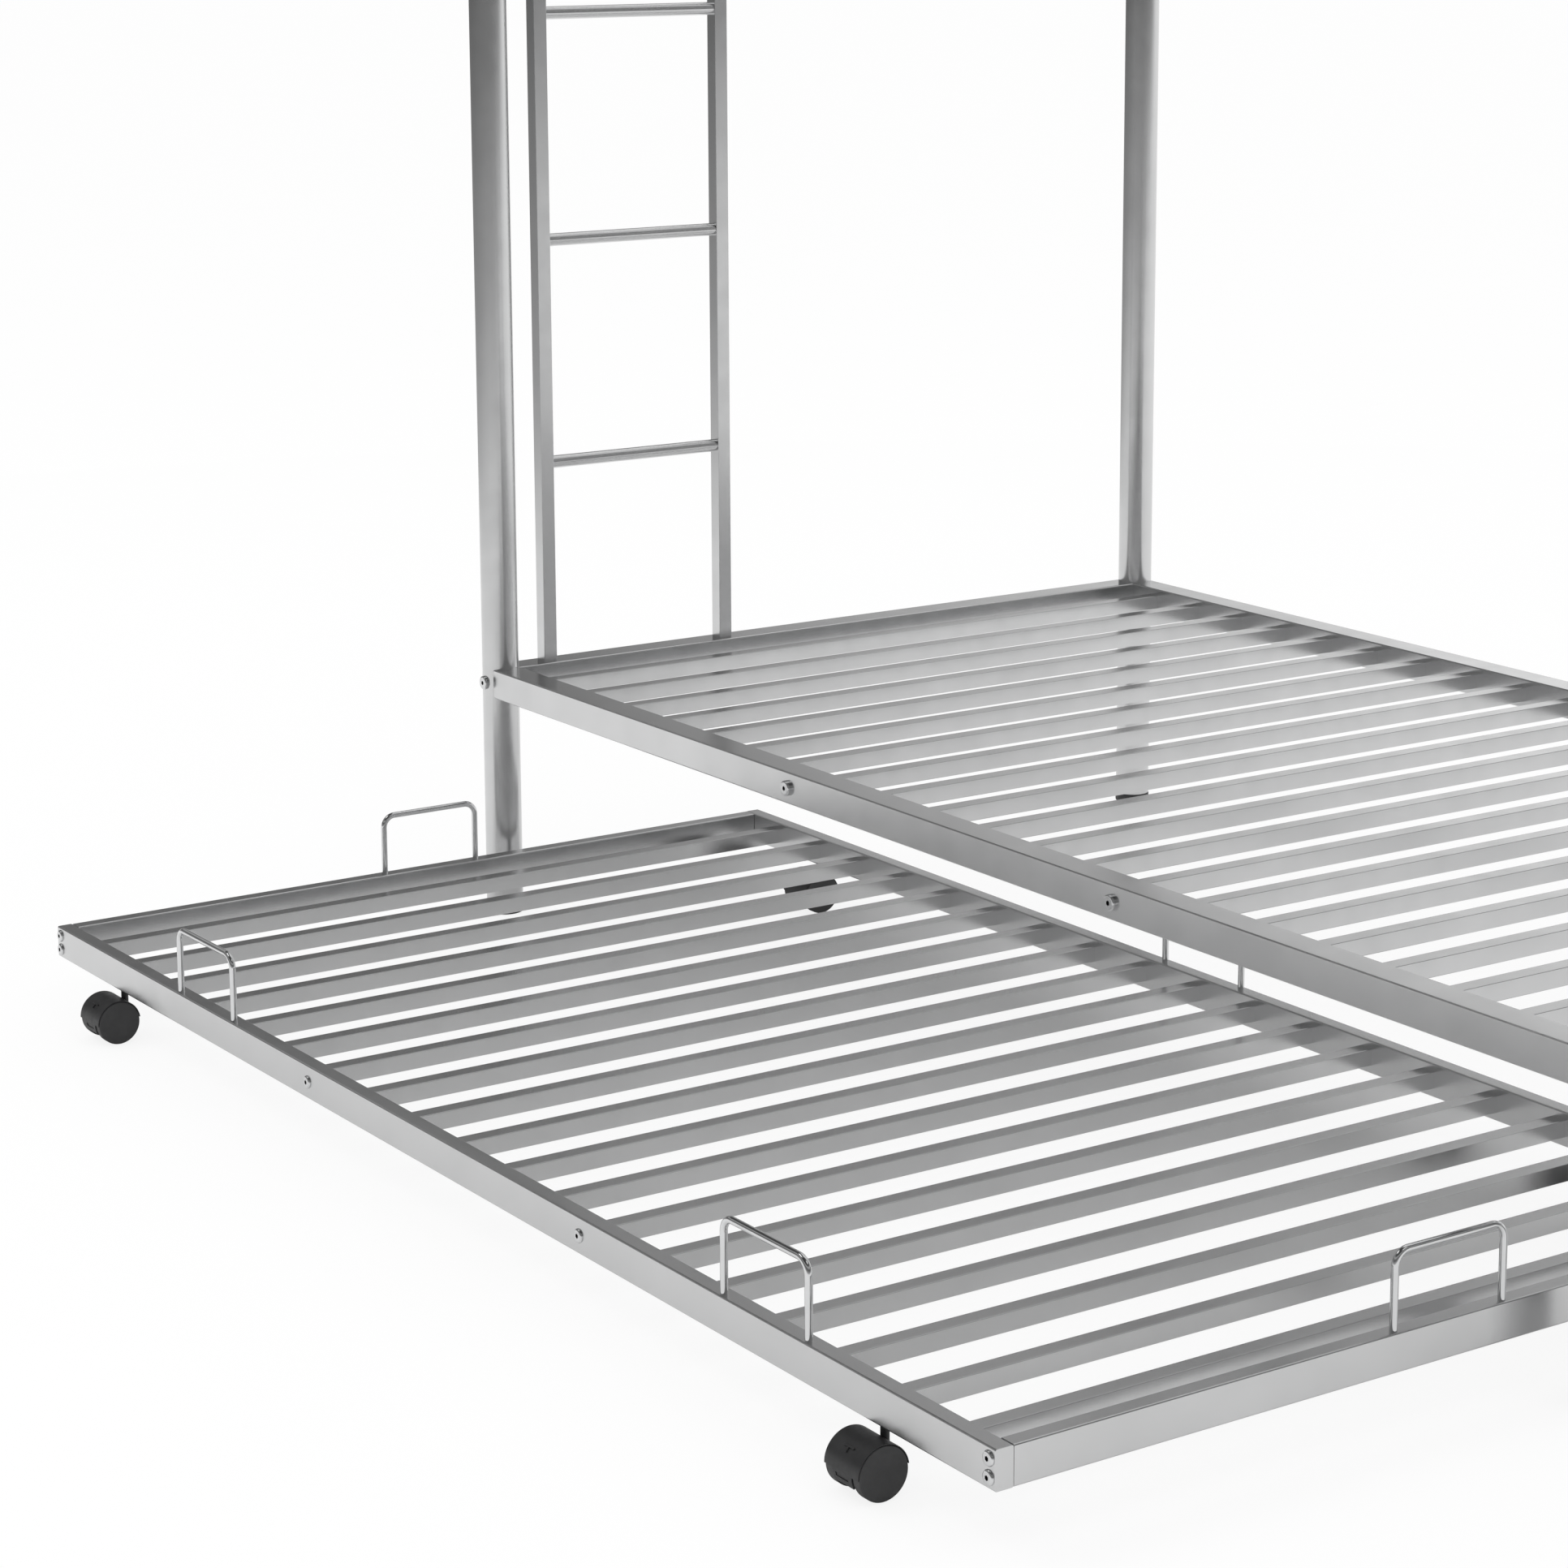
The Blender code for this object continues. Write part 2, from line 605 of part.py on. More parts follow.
def core_mesh(name):
    """The block between the wheels: it fills the hood above and clears the floor below."""
    radius = HOOD_INNER_RADIUS + HOOD_WALL / 2
    upper = arc((0, 0), radius, CORE_BACK_ANGLE, CORE_FRONT_ANGLE, HOOD_STEPS)
    lower = arc((0, 0), CORE_LOWER_RADIUS, CORE_FRONT_ANGLE, CORE_BACK_ANGLE + math.tau, CORE_LOWER_STEPS)
    return mesh_from_curve(outline_curve(name, upper + lower, CORE_WIDTH))


def tab_mesh(name, height):
    """The raised T on the hood, head up, with its face towards +Z and arms that thin to their tips."""
    wide = TAB_WIDTH / 2
    narrow = TAB_THICKNESS / 2
    head = TAB_LENGTH / 2
    neck = head - TAB_THICKNESS
    tip = head - TAB_THICKNESS * TAB_TIP_SHARE
    outline = [(-wide, head), (-wide, tip), (-narrow, neck), (-narrow, -head),
               (narrow, -head), (narrow, neck), (wide, tip), (wide, head)]
    return mesh_from_curve(outline_curve(name, outline, height))


def place_along_axle(shape):
    """Stand a shape drawn in its own X-Y plane upright, with its thickness along the axle."""
    shape.rotation_euler = (math.pi / 2, 0, math.pi / 2)
    return shape


def build_caster(label, place, trundle):
    """A hooded twin-wheel caster on a swivelling stem, its wheels trailing to the front."""
    stem_x, stem_y = place
    swivel = add_pivot("caster_pivot_" + label, (stem_x, stem_y, TRUNDLE_BASE), trundle)
    axle_height = WHEEL_RADIUS - TRUNDLE_BASE
    axle = add_pivot("axle_pivot_" + label, (0, -CASTER_TRAIL, axle_height), swivel)

    name = "caster_hood_" + label
    hood = place_along_axle(add_part(name, hood_mesh(name), BLACK_PLASTIC, parent=axle))
    core = place_along_axle(add_cutter(name + "_core", core_mesh(name + "_core"), parent=axle))
    combine(hood, "UNION", core)

    stem = [((0, 0, axle_height + CORE_LOWER_RADIUS / 2), (0, 0, STEM_GRIP), STEM_DIAMETER)]
    stem_mesh = rods_mesh(name + "_stem", stem, STEM_SIDES)
    combine(hood, "UNION", add_cutter(name + "_stem", stem_mesh, parent=swivel))
    hole = [((-CORE_WIDTH, 0, 0), (CORE_WIDTH, 0, 0), AXLE_DIAMETER + 2 * CLEARANCE)]
    hole_mesh = rods_mesh(name + "_axle_hole", hole, STEM_SIDES)
    combine(hood, "DIFFERENCE", add_cutter(name + "_axle_hole", hole_mesh, parent=axle))

    tab_height = TAB_RISE + HOOD_WALL / 2
    tab_middle = HOOD_RADIUS + TAB_RISE - tab_height / 2
    tab_place = (0, tab_middle * math.cos(TAB_ANGLE), tab_middle * math.sin(TAB_ANGLE))
    tab = add_cutter(name + "_tab", tab_mesh(name + "_tab", tab_height), tab_place, axle)
    tab.rotation_euler = (TAB_ANGLE - math.pi / 2, 0, 0)
    combine(hood, "UNION", tab)
    opening = ((0, HOOD_RADIUS, 0), (WINDOW_WIDTH, 2 * WINDOW_DEPTH, WINDOW_HEIGHT))
    window = add_cutter(name + "_window", boxes_mesh(name + "_window", [opening]), parent=axle)
    window.rotation_euler = (WINDOW_ANGLE, 0, 0)
    combine(hood, "DIFFERENCE", window)

    reach = CASTER_WIDTH / 2 - WHEEL_FACE_WALL - RUNNING_GAP
    pin = [((-reach, 0, 0), (reach, 0, 0), AXLE_DIAMETER)]
    name = "caster_axle_" + label
    add_part(name, rods_mesh(name, pin, STEM_SIDES), BRIGHT_WIRE, parent=axle)

    outward = math.copysign(math.pi / 2, stem_x)
    for side, turn in (("outer", outward), ("inner", -outward)):
        build_wheel("caster_wheel_" + label + "_" + side, turn, axle)


def build_wheel(name, turn, axle):
    """One wheel: a solid disc with a blind bore that turns on the end of the axle."""
    inside = CORE_WIDTH / 2 + RUNNING_GAP
    outside = CASTER_WIDTH / 2
    bore = AXLE_DIAMETER / 2 + RUNNING_GAP
    shoulder = WHEEL_RADIUS - WHEEL_SHOULDER
    profile = [(0, outside), (shoulder, outside), (WHEEL_RADIUS, outside - WHEEL_SHOULDER),
               (WHEEL_RADIUS, inside + WHEEL_SHOULDER), (shoulder, inside), (bore, inside),
               (bore, outside - WHEEL_FACE_WALL), (0, outside - WHEEL_FACE_WALL)]
    wheel = add_part(name, turned_mesh(name, profile), BLACK_PLASTIC, parent=axle)
    wheel.rotation_euler = (0, turn, 0)
    spin(wheel, WHEEL_STEPS)


def build_trundle():
    """The roll-out bed, at rest pulled out to the front."""
    trundle = add_pivot("trundle_slide_pivot", (0, TRUNDLE_Y, 0))
    build_trundle_frame(trundle)
    build_hoops(trundle)
    for label, place in caster_places().items():
        build_socket(label, place, trundle)
        build_caster(label, place, trundle)


def build_bed():
    """The whole bed."""
    build_posts()
    coping = post_clearance()
    build_deck("lower", LOWER_DECK_TOP, coping)
    build_deck("upper", UPPER_DECK_TOP, coping)
    build_ladder()
    build_guards(coping)
    build_trundle()


build_bed()
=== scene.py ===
# %% [markdown]
# # A bunk bed with a roll-out trundle
# The bed is welded from round and square steel tube in a satin silver finish. Everything that
# moves was settled in the CAD model, so the first step loads that model as a fixed frame. The
# lesson then builds a finished mesh round each bare solid, and lets it ride on the body that
# carries it.

# %% Load the fixed frame
import math

import bmesh
import bpy
from mathutils import Matrix, Vector


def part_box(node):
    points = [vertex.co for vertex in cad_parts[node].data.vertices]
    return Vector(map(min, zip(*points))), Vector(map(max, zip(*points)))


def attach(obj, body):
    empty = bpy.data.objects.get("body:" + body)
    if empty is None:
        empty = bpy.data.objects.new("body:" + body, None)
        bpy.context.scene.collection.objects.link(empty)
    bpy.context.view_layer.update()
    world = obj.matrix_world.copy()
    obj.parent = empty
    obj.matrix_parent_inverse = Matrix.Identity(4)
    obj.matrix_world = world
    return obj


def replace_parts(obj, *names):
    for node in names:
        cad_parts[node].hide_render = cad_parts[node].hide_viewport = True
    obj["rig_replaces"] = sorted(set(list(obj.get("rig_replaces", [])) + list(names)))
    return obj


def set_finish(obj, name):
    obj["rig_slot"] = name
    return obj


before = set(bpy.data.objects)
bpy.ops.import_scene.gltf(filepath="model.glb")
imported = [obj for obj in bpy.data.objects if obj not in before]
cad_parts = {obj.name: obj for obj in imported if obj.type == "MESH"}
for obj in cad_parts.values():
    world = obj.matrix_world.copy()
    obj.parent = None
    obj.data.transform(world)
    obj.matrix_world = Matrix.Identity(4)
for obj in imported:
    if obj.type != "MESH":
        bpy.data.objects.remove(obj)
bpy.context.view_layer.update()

# %% [markdown]
# ## The camera
# The photo is a product picture taken with a long lens from the front right, a little above the
# upper rungs of the ladder. The posts stand almost parallel in it. The camera tilts down as far as
# the framing needs, and a small lens shift does the rest. Other views keep that shift, which is why
# it stays small.

# %% Camera
LENS_MM = 88.66
LENS_SHIFT = (-0.06, -0.10)
CAMERA_PLACE = (3.1473, -2.4810, 1.3056)
CAMERA_HEADING = math.radians(145.083)
CAMERA_DIP = math.radians(11.409)

lens = bpy.data.cameras.new("camera")
lens.lens = LENS_MM
lens.shift_x, lens.shift_y = LENS_SHIFT
camera = bpy.data.objects.new("camera", lens)
bpy.context.scene.collection.objects.link(camera)
camera.location = CAMERA_PLACE
camera.rotation_euler = (math.pi / 2 - CAMERA_DIP, 0, CAMERA_HEADING - math.pi / 2)
bpy.context.scene.camera = camera
bpy.context.scene.view_settings.view_transform = "Standard"
print("camera at", CAMERA_PLACE, "with a lens of", LENS_MM, "mm")

# %% [markdown]
# ## Working by hand in code
# Operators act on whatever is selected, and the loaded frame leaves every CAD solid selected. So
# each piece starts with empty hands: object mode, nothing selected. In edit mode, faces and edges
# are chosen by where they lie, as one would pick them with the mouse.

# %% Selecting
FACING = 0.9
SAME_PLACE = 0.00001
RIM_ANGLE = math.radians(60)


def empty_hands():
    """Object mode, with nothing selected."""
    if bpy.context.object and bpy.context.object.mode != "OBJECT":
        bpy.ops.object.mode_set(mode="OBJECT")
    bpy.ops.object.select_all(action="DESELECT")


def take(piece):
    """Make one piece the only selected and active one."""
    empty_hands()
    piece.select_set(True)
    bpy.context.view_layer.objects.active = piece


def open_up(piece):
    """Go into edit mode on a piece."""
    take(piece)
    bpy.ops.object.mode_set(mode="EDIT")


def close_up():
    """Leave edit mode."""
    bpy.ops.object.mode_set(mode="OBJECT")


def choose(piece, kind, wanted):
    """In edit mode, select the faces or edges that answer to a test."""
    bpy.ops.mesh.select_mode(type=kind)
    bpy.ops.mesh.select_all(action="DESELECT")
    shape = bmesh.from_edit_mesh(piece.data)
    for part in {"FACE": shape.faces, "EDGE": shape.edges}[kind]:
        if wanted(part):
            part.select_set(True)
    shape.select_flush_mode()
    bmesh.update_edit_mesh(piece.data)


def choose_all():
    """In edit mode, select everything."""
    bpy.ops.mesh.select_all(action="SELECT")


def is_rim(edge):
    """A test for the edges with a sharp corner."""
    return len(edge.link_faces) == 2 and edge.calc_face_angle() > RIM_ANGLE


print("selecting tools ready")

# %% Placing and joining
def settle(piece):
    """Put a piece's place, turn and size into its mesh."""
    take(piece)
    bpy.ops.object.transform_apply(location=True, rotation=True, scale=True)
    return piece


def twin_of(piece, place):
    """A copy with a mesh of its own, moved and turned by a matrix."""
    take(piece)
    bpy.ops.object.duplicate()
    twin = bpy.context.object
    twin.parent = None
    twin.matrix_world = place
    return settle(twin)


def apply_modifiers(piece):
    """Apply all modifiers of a piece, first to last."""
    take(piece)
    for name in [modifier.name for modifier in piece.modifiers]:
        bpy.ops.object.modifier_apply(modifier=name)
    return piece


def cut_or_join(piece, operation, tool):
    """A Boolean step with another mesh, which is used up."""
    step = piece.modifiers.new("shape", "BOOLEAN")
    step.operation = operation
    step.solver = "EXACT"
    step.object = tool
    apply_modifiers(piece)
    bpy.data.objects.remove(tool)


def put_together(pieces):
    """Join loose meshes into the first of them."""
    take(pieces[0])
    for piece in pieces[1:]:
        piece.select_set(True)
    bpy.ops.object.join()
    return pieces[0]


def in_mm(piece):
    """A piece's size in millimetres."""
    return [round(value * 1000, 1) for value in piece.dimensions]


print("placing tools ready")

# %% Basic shapes
ROUND_SIDES = 64
AXIS_TURNS = {0: (0, math.pi / 2, 0), 1: (math.pi / 2, 0, 0), 2: (0, 0, 0)}


def cylinder(radius, depth, place=(0, 0, 0), sides=ROUND_SIDES, axis=2, ends="NGON"):
    """A cylinder with its middle at a place, along an axis (0, 1 or 2)."""
    empty_hands()
    bpy.ops.mesh.primitive_cylinder_add(vertices=sides, radius=radius, depth=depth, location=place,
                                        rotation=AXIS_TURNS[axis], end_fill_type=ends)
    return settle(bpy.context.object)


def disc(low, high, radius, sides=ROUND_SIDES, ends="NGON"):
    """A disc between two heights, about the Z axis."""
    return cylinder(radius, high - low, (0, 0, (low + high) / 2), sides, ends=ends)


def pull(step):
    """In edit mode, extrude what is selected by a step."""
    bpy.ops.mesh.extrude_region_move(TRANSFORM_OT_translate={"value": step})


def soften(piece, wanted, offset, segments=2):
    """In edit mode, bevel the edges that answer to a test."""
    choose(piece, "EDGE", wanted)
    bpy.ops.mesh.bevel(offset=offset, segments=segments, affect="EDGES")


print("round shapes have", ROUND_SIDES, "sides")

# %% [markdown]
# ## Finishes
# The photo shows one satin silver on all the tube, a brighter wire on the mattress hoops, zinc
# bolts and black plastic under the bed. A metal's colour is what it mirrors, so its base colour
# stays light and even, and the detail goes into the roughness: soft clouds in the lacquer, over a
# fine grain in the bump. All the patterns read Object coordinates, which are metres in the bed's
# own frame.

# %% Shader nodes
def feed(tree, socket, value):
    """Link a socket to another node's output, or set it to a number or a colour."""
    if isinstance(value, bpy.types.NodeSocket):
        tree.links.new(value, socket)
    else:
        socket.default_value = value


def add_node(tree, kind, inputs=(), **settings):
    """The outputs of a new shader node with these inputs and settings."""
    node = tree.nodes.new("ShaderNode" + kind)
    for name, value in settings.items():
        setattr(node, name, value)
    for socket, value in dict(inputs).items():
        feed(tree, node.inputs[socket], value)
    return node.outputs


def noise(tree, place, scale, detail=2):
    """A noise pattern, its scale in clouds a metre."""
    inputs = {"Scale": scale, "Detail": detail, "Vector": place}
    return add_node(tree, "TexNoise", inputs)["Fac"]


def spread(tree, value, low, high, start=0.3, end=0.7):
    """Map a value's range from start to end to the range from low to high."""
    inputs = {"Value": value, "From Min": start, "From Max": end, "To Min": low, "To Max": high}
    return add_node(tree, "MapRange", inputs)["Result"]


def between(tree, share, dark, light):
    """A colour between two."""
    return add_node(tree, "Mix", {0: share, 6: dark, 7: light}, data_type="RGBA")[2]


def opaque(colour):
    """A colour with its alpha."""
    return (*colour, 1)


def new_material(name):
    """A material, its node tree and its Object coordinates."""
    material = bpy.data.materials.new(name)
    material.use_nodes = True
    tree = material.node_tree
    return material, tree, add_node(tree, "TexCoord")["Object"]


print("pattern helpers ready")

# %% One recipe for all finishes
BUMP_STRENGTH = 0.5
GLOSS_CLOUDS = 3
SLOT_OF = {}


def make_finish(name, slot, dark, light, metallic, rough, clouds, grain, depth):
    """Colour and roughness that drift in soft clouds, over a fine grain of a given depth."""
    material, tree, place = new_material(name)
    drift = spread(tree, noise(tree, place, clouds, detail=3), 0, 1)
    gloss = spread(tree, noise(tree, place, clouds * GLOSS_CLOUDS), *rough)
    bump = {"Strength": BUMP_STRENGTH, "Distance": depth, "Height": noise(tree, place, grain)}
    sockets = tree.nodes["Principled BSDF"].inputs
    feed(tree, sockets["Base Color"], between(tree, drift, opaque(dark), opaque(light)))
    feed(tree, sockets["Roughness"], gloss)
    feed(tree, sockets["Metallic"], metallic)
    feed(tree, sockets["Normal"], add_node(tree, "Bump", bump)["Normal"])
    SLOT_OF[name] = slot
    return material


# Name, slot, two colours, metallic, roughness range, clouds and grain a metre, depth in metres
SATIN_SILVER = make_finish("satin_silver", "silver_paint", (0.615, 0.617, 0.620),
                           (0.650, 0.652, 0.655), 1.0, (0.21, 0.27), 9, 700, 0.000004)
HOOP_WIRE = make_finish("bright_hoop_wire", "bright_wire", (0.66, 0.665, 0.67),
                        (0.72, 0.725, 0.73), 1.0, (0.12, 0.18), 30, 1500, 0.000006)
ZINC = make_finish("bright_zinc", "bright_wire", (0.62, 0.625, 0.63), (0.70, 0.705, 0.71), 1.0,
                   (0.16, 0.24), 120, 2500, 0.000006)
# Near-black finish for the faces inside the bolt sockets: painted shade in the recess.
SOCKET_SHADE = make_finish("key_socket_painted_shade", "bright_wire", (0.05, 0.05, 0.052), (0.09, 0.09, 0.093),
                           1.0, (0.35, 0.50), 200, 2500, 0.000006)
AXLE_STEEL = make_finish("turned_axle_steel", "axle_steel", (0.42, 0.42, 0.43),
                         (0.50, 0.50, 0.51), 1.0, (0.25, 0.35), 80, 1500, 0.000006)
HOOD_BLACK = make_finish("moulded_black_hood", "hood_black", (0.014, 0.014, 0.015),
                         (0.021, 0.021, 0.022), 0.0, (0.38, 0.48), 60, 2200, 0.00002)
WHEEL_BLACK = make_finish("black_wheel", "wheel_black", (0.027, 0.027, 0.028),
                          (0.035, 0.035, 0.036), 0.0, (0.42, 0.54), 60, 2600, 0.00002)
PLUG_BLACK = make_finish("black_plug", "cap_black", (0.018, 0.018, 0.019),
                         (0.027, 0.027, 0.028), 0.0, (0.40, 0.52), 50, 2000, 0.00002)
BUSH_GREY = make_finish("grey_bush", "socket_grey", (0.20, 0.20, 0.21), (0.26, 0.26, 0.27), 0.0,
                        (0.45, 0.55), 60, 2000, 0.00002)
print("finishes:", ", ".join(SLOT_OF))

# %% [markdown]
# ## Handing a piece over
# A finished mesh sits at the origin with its place in its vertices, its faces point outwards, and
# its round parts are shaded smooth. The Weighted Normal modifier keeps the flat sides of a tube
# flat, so that only the rolled corners shade round. Then the piece rides on its body, stands for
# its CAD solids and names the record's material slot. A repeat is a copy with a mesh of its own.

# %% Finish and copy
SMOOTH_ANGLE = math.radians(35)
made = []


def hand_over(piece, name, body, slot, nodes):
    """Name a piece, and let it ride on its body in place of its CAD solids."""
    piece.name = name
    piece.data.name = name
    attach(piece, body)
    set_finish(piece, slot)
    if nodes:
        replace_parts(piece, *nodes)
    made.append(piece)
    return piece


def face_outwards():
    """In edit mode, turn all faces outwards."""
    choose_all()
    bpy.ops.mesh.normals_make_consistent(inside=False)


def finish_piece(piece, name, body, nodes, finish=SATIN_SILVER):
    """Settle a piece, turn its faces outwards, shade it, give it its finish and hand it over."""
    open_up(settle(piece))
    face_outwards()
    close_up()
    bpy.ops.object.shade_smooth_by_angle(angle=SMOOTH_ANGLE)
    flats = piece.modifiers.new("flat sides", "WEIGHTED_NORMAL")
    flats.keep_sharp = True
    apply_modifiers(piece)
    if not piece.data.materials:
        piece.data.materials.append(finish)
    return hand_over(piece, name, body, SLOT_OF[finish.name], nodes)


def copy_piece(piece, name, step, body, nodes):
    """Hand over a copy of a piece, shifted by a step."""
    twin = twin_of(piece, Matrix.Translation(step))
    if "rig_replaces" in twin:
        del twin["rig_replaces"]
    return hand_over(twin, name, body, piece["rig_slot"], nodes)


print("ready to hand pieces over")

# %% [markdown]
# ## Places from the frame
# A CAD node's box gives its place and its size, so most places aren't typed twice. The four posts
# give the corners of the bunk, and the trundle's rails give the corners of the trundle.

# %% Read the frame
BUNK = "bunk_frame"
TRUNDLE = "trundle"
CORNERS = ("front_left", "front_right", "back_left", "back_right")


def middle(node):
    """The middle of a CAD node's box."""
    low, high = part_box(node)
    return (low + high) / 2


def other_corners(places):
    """The name of each further corner, and the level step to it from the front left."""
    for corner in CORNERS[1:]:
        step = places[corner] - places["front_left"]
        yield corner, (step.x, step.y, 0)


POST_AT = {corner: middle("post_" + corner) for corner in CORNERS}
CASTER_AT = {corner: middle("caster_socket_" + corner) for corner in CORNERS}
POST_LOW, POST_TOP = (edge.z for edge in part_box("post_front_left"))
POST_RADIUS = 0.0225
LEFT, RIGHT = POST_AT["front_left"].x, POST_AT["front_right"].x
FRONT, BACK = POST_AT["front_left"].y, POST_AT["back_left"].y
print("posts stand", round(RIGHT - LEFT, 4), "by", round(BACK - FRONT, 4), "m apart")

# %% [markdown]
# ## Bunk posts
# Each post is one round tube. An open cylinder is the outer skin, Solidify gives it the wall of the
# tube on the inside, and a small bevel takes the sharpness off the sawn ends. One post is made and
# copied.

# %% Round tube
POST_WALL = 0.0015
SAWN_EDGE = 0.0004


def round_tube(low, high, radius, wall, sides=ROUND_SIDES):
    """An open upright tube about the origin, with its wall and softened ends."""
    tube = disc(low, high, radius, sides, ends="NOTHING")
    skin = tube.modifiers.new("tube wall", "SOLIDIFY")
    skin.thickness = wall
    skin.offset = -1
    open_up(apply_modifiers(tube))
    soften(tube, is_rim, SAWN_EDGE)
    close_up()
    return tube


def at_corners(model, stem, places, body, node_stem, finish):
    """Stand a model made about the origin at the front left, and copies elsewhere."""
    first = places["front_left"]
    model.location = (first.x, first.y, 0)
    finish_piece(model, stem + "front_left", body, [node_stem + "front_left"], finish)
    for corner, step in other_corners(places):
        copy_piece(model, stem + corner, step, body, [node_stem + corner])


post = round_tube(POST_LOW, POST_TOP, POST_RADIUS, POST_WALL)
at_corners(post, "tube_post_", POST_AT, BUNK, "post_", SATIN_SILVER)
print(len(made), "posts")

# %% [markdown]
# ## Plugs in the posts
# A black plastic plug closes each end of a post: a plain round foot below, and a low crowned cap on
# top. Both start as a disc. Insetting its upper face and pulling it up gives the spigot inside the
# tube, and bevels round the rim.

# %% Foot plugs
SPIGOT_RADIUS = 0.0206
FOOT_RADIUS = 0.023
FOOT_HEIGHT = 0.012
FOOT_EDGE = 0.0025
RIM_EDGE = 0.0006


def faces_up_at(height):
    """A test for the flat faces that look up at a height."""
    return lambda face: (face.normal.z > FACING
                         and abs(face.calc_center_median().z - height) < SAME_PLACE)


def rim_at(height, radius):
    """A test for the edges of one ring, by its height and radius."""
    return lambda edge: all(abs(corner.co.z - height) < SAME_PLACE
                            and abs(corner.co.xy.length - radius) < SAME_PLACE
                            for corner in edge.verts)


foot = disc(0, FOOT_HEIGHT, FOOT_RADIUS)
open_up(foot)
choose(foot, "FACE", faces_up_at(FOOT_HEIGHT))
bpy.ops.mesh.inset(thickness=FOOT_RADIUS - SPIGOT_RADIUS)
pull((0, 0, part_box("foot_plug_front_left")[1].z - FOOT_HEIGHT))
soften(foot, rim_at(0, FOOT_RADIUS), FOOT_EDGE, segments=5)
soften(foot, rim_at(FOOT_HEIGHT, FOOT_RADIUS), RIM_EDGE)
close_up()
at_corners(foot, "foot_cup_", POST_AT, BUNK, "foot_plug_", PLUG_BLACK)
print("foot plugs stand", FOOT_HEIGHT * 1000, "mm high")

# %% Top caps
CAP_LOW, CAP_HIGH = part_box("top_cap_front_left")
CAP_GAP = 0.0003
CAP_SEAT = POST_TOP + CAP_GAP
CAP_EDGE_HEIGHT = 0.0025
CROWN_STEPS = 6
CROWN_FLAT = 0.35


def crown_size(turn):
    """The crown's size at an angle of its quarter turn: a flat middle and a round shoulder."""
    return CROWN_FLAT + (1 - CROWN_FLAT) * math.cos(turn)


cap = disc(CAP_SEAT, CAP_SEAT + CAP_EDGE_HEIGHT, POST_RADIUS)
open_up(cap)
choose(cap, "FACE", faces_up_at(CAP_SEAT + CAP_EDGE_HEIGHT))
crown = CAP_HIGH.z - CAP_SEAT - CAP_EDGE_HEIGHT
for step in range(CROWN_STEPS):
    start, end = (math.pi / 2 * share / CROWN_STEPS for share in (step, step + 1))
    pull((0, 0, crown * (math.sin(end) - math.sin(start))))
    size = crown_size(end) / crown_size(start)
    bpy.ops.transform.resize(value=(size, size, 1), center_override=(0, 0, 0))
choose(cap, "FACE", lambda face: face.normal.z < -FACING)
bpy.ops.mesh.inset(thickness=POST_RADIUS - SPIGOT_RADIUS)
pull((0, 0, CAP_LOW.z - CAP_SEAT))
soften(cap, rim_at(CAP_SEAT, POST_RADIUS), RIM_EDGE)
close_up()
at_corners(cap, "crowned_cap_", POST_AT, BUNK, "top_cap_", PLUG_BLACK)
print("caps rise to", round(CAP_HIGH.z, 4))

# %% [markdown]
# ## Square tube
# The decks, the ladder and the trundle are square tube with small rolled corners. A cube is
# stretched to the tube's size, and its long edges are bevelled. Ends that are closed flat are
# softened too, so that a seam shows there. Ends that are welded stay sharp and run a little way
# into what holds them, so that no gap shows.

# %% Square tube helper
TUBE_CORNER = 0.0007
RAIL_CORNER = 0.0018
END_EDGE = 0.0005


def square_tube(low, high, axis, corner=TUBE_CORNER, closed_ends=False):
    """A square tube between two corners of its box, its long way along an axis (0, 1 or 2)."""
    low, high = Vector(low), Vector(high)
    empty_hands()
    bpy.ops.mesh.primitive_cube_add(size=1, location=(low + high) / 2, scale=high - low)
    tube = settle(bpy.context.object)

    def is_long(edge):
        way = (edge.verts[1].co - edge.verts[0].co).normalized()
        return abs(way[axis]) > FACING

    def is_end(edge):
        return any(all(abs(corner.co[axis] - end[axis]) < SAME_PLACE for corner in edge.verts)
                   for end in (low, high))

    open_up(tube)
    soften(tube, is_long, corner, segments=4)
    if closed_ends:
        soften(tube, is_end, END_EDGE)
    close_up()
    return tube


print("square tube corners:", TUBE_CORNER * 1000, "mm")

# %% [markdown]
# ## Sleeping decks
# A deck is four tubes between the posts and a row of slats. The lower deck is modelled from the
# boxes of its CAD solids; the upper one is the same deck higher up, so its pieces are copies.

# %% Deck tubes
RAIL_HALF = 0.018
INTO_POST = 0.012
DECK_MIDDLE = {level: middle(level + "_front_rail").z for level in ("lower", "upper")}
DECK_RISE = (0, 0, DECK_MIDDLE["upper"] - DECK_MIDDLE["lower"])


def deck_rail(side):
    """One tube of the lower deck, cut to run a little into the posts at its ends."""
    low_z, high_z = DECK_MIDDLE["lower"] - RAIL_HALF, DECK_MIDDLE["lower"] + RAIL_HALF
    if side in ("front", "back"):
        y = FRONT if side == "front" else BACK
        return square_tube((LEFT + INTO_POST, y - RAIL_HALF, low_z),
                           (RIGHT - INTO_POST, y + RAIL_HALF, high_z), 0, RAIL_CORNER)
    x = LEFT if side == "left" else RIGHT
    return square_tube((x - RAIL_HALF, FRONT + INTO_POST, low_z),
                       (x + RAIL_HALF, BACK - INTO_POST, high_z), 1, RAIL_CORNER)


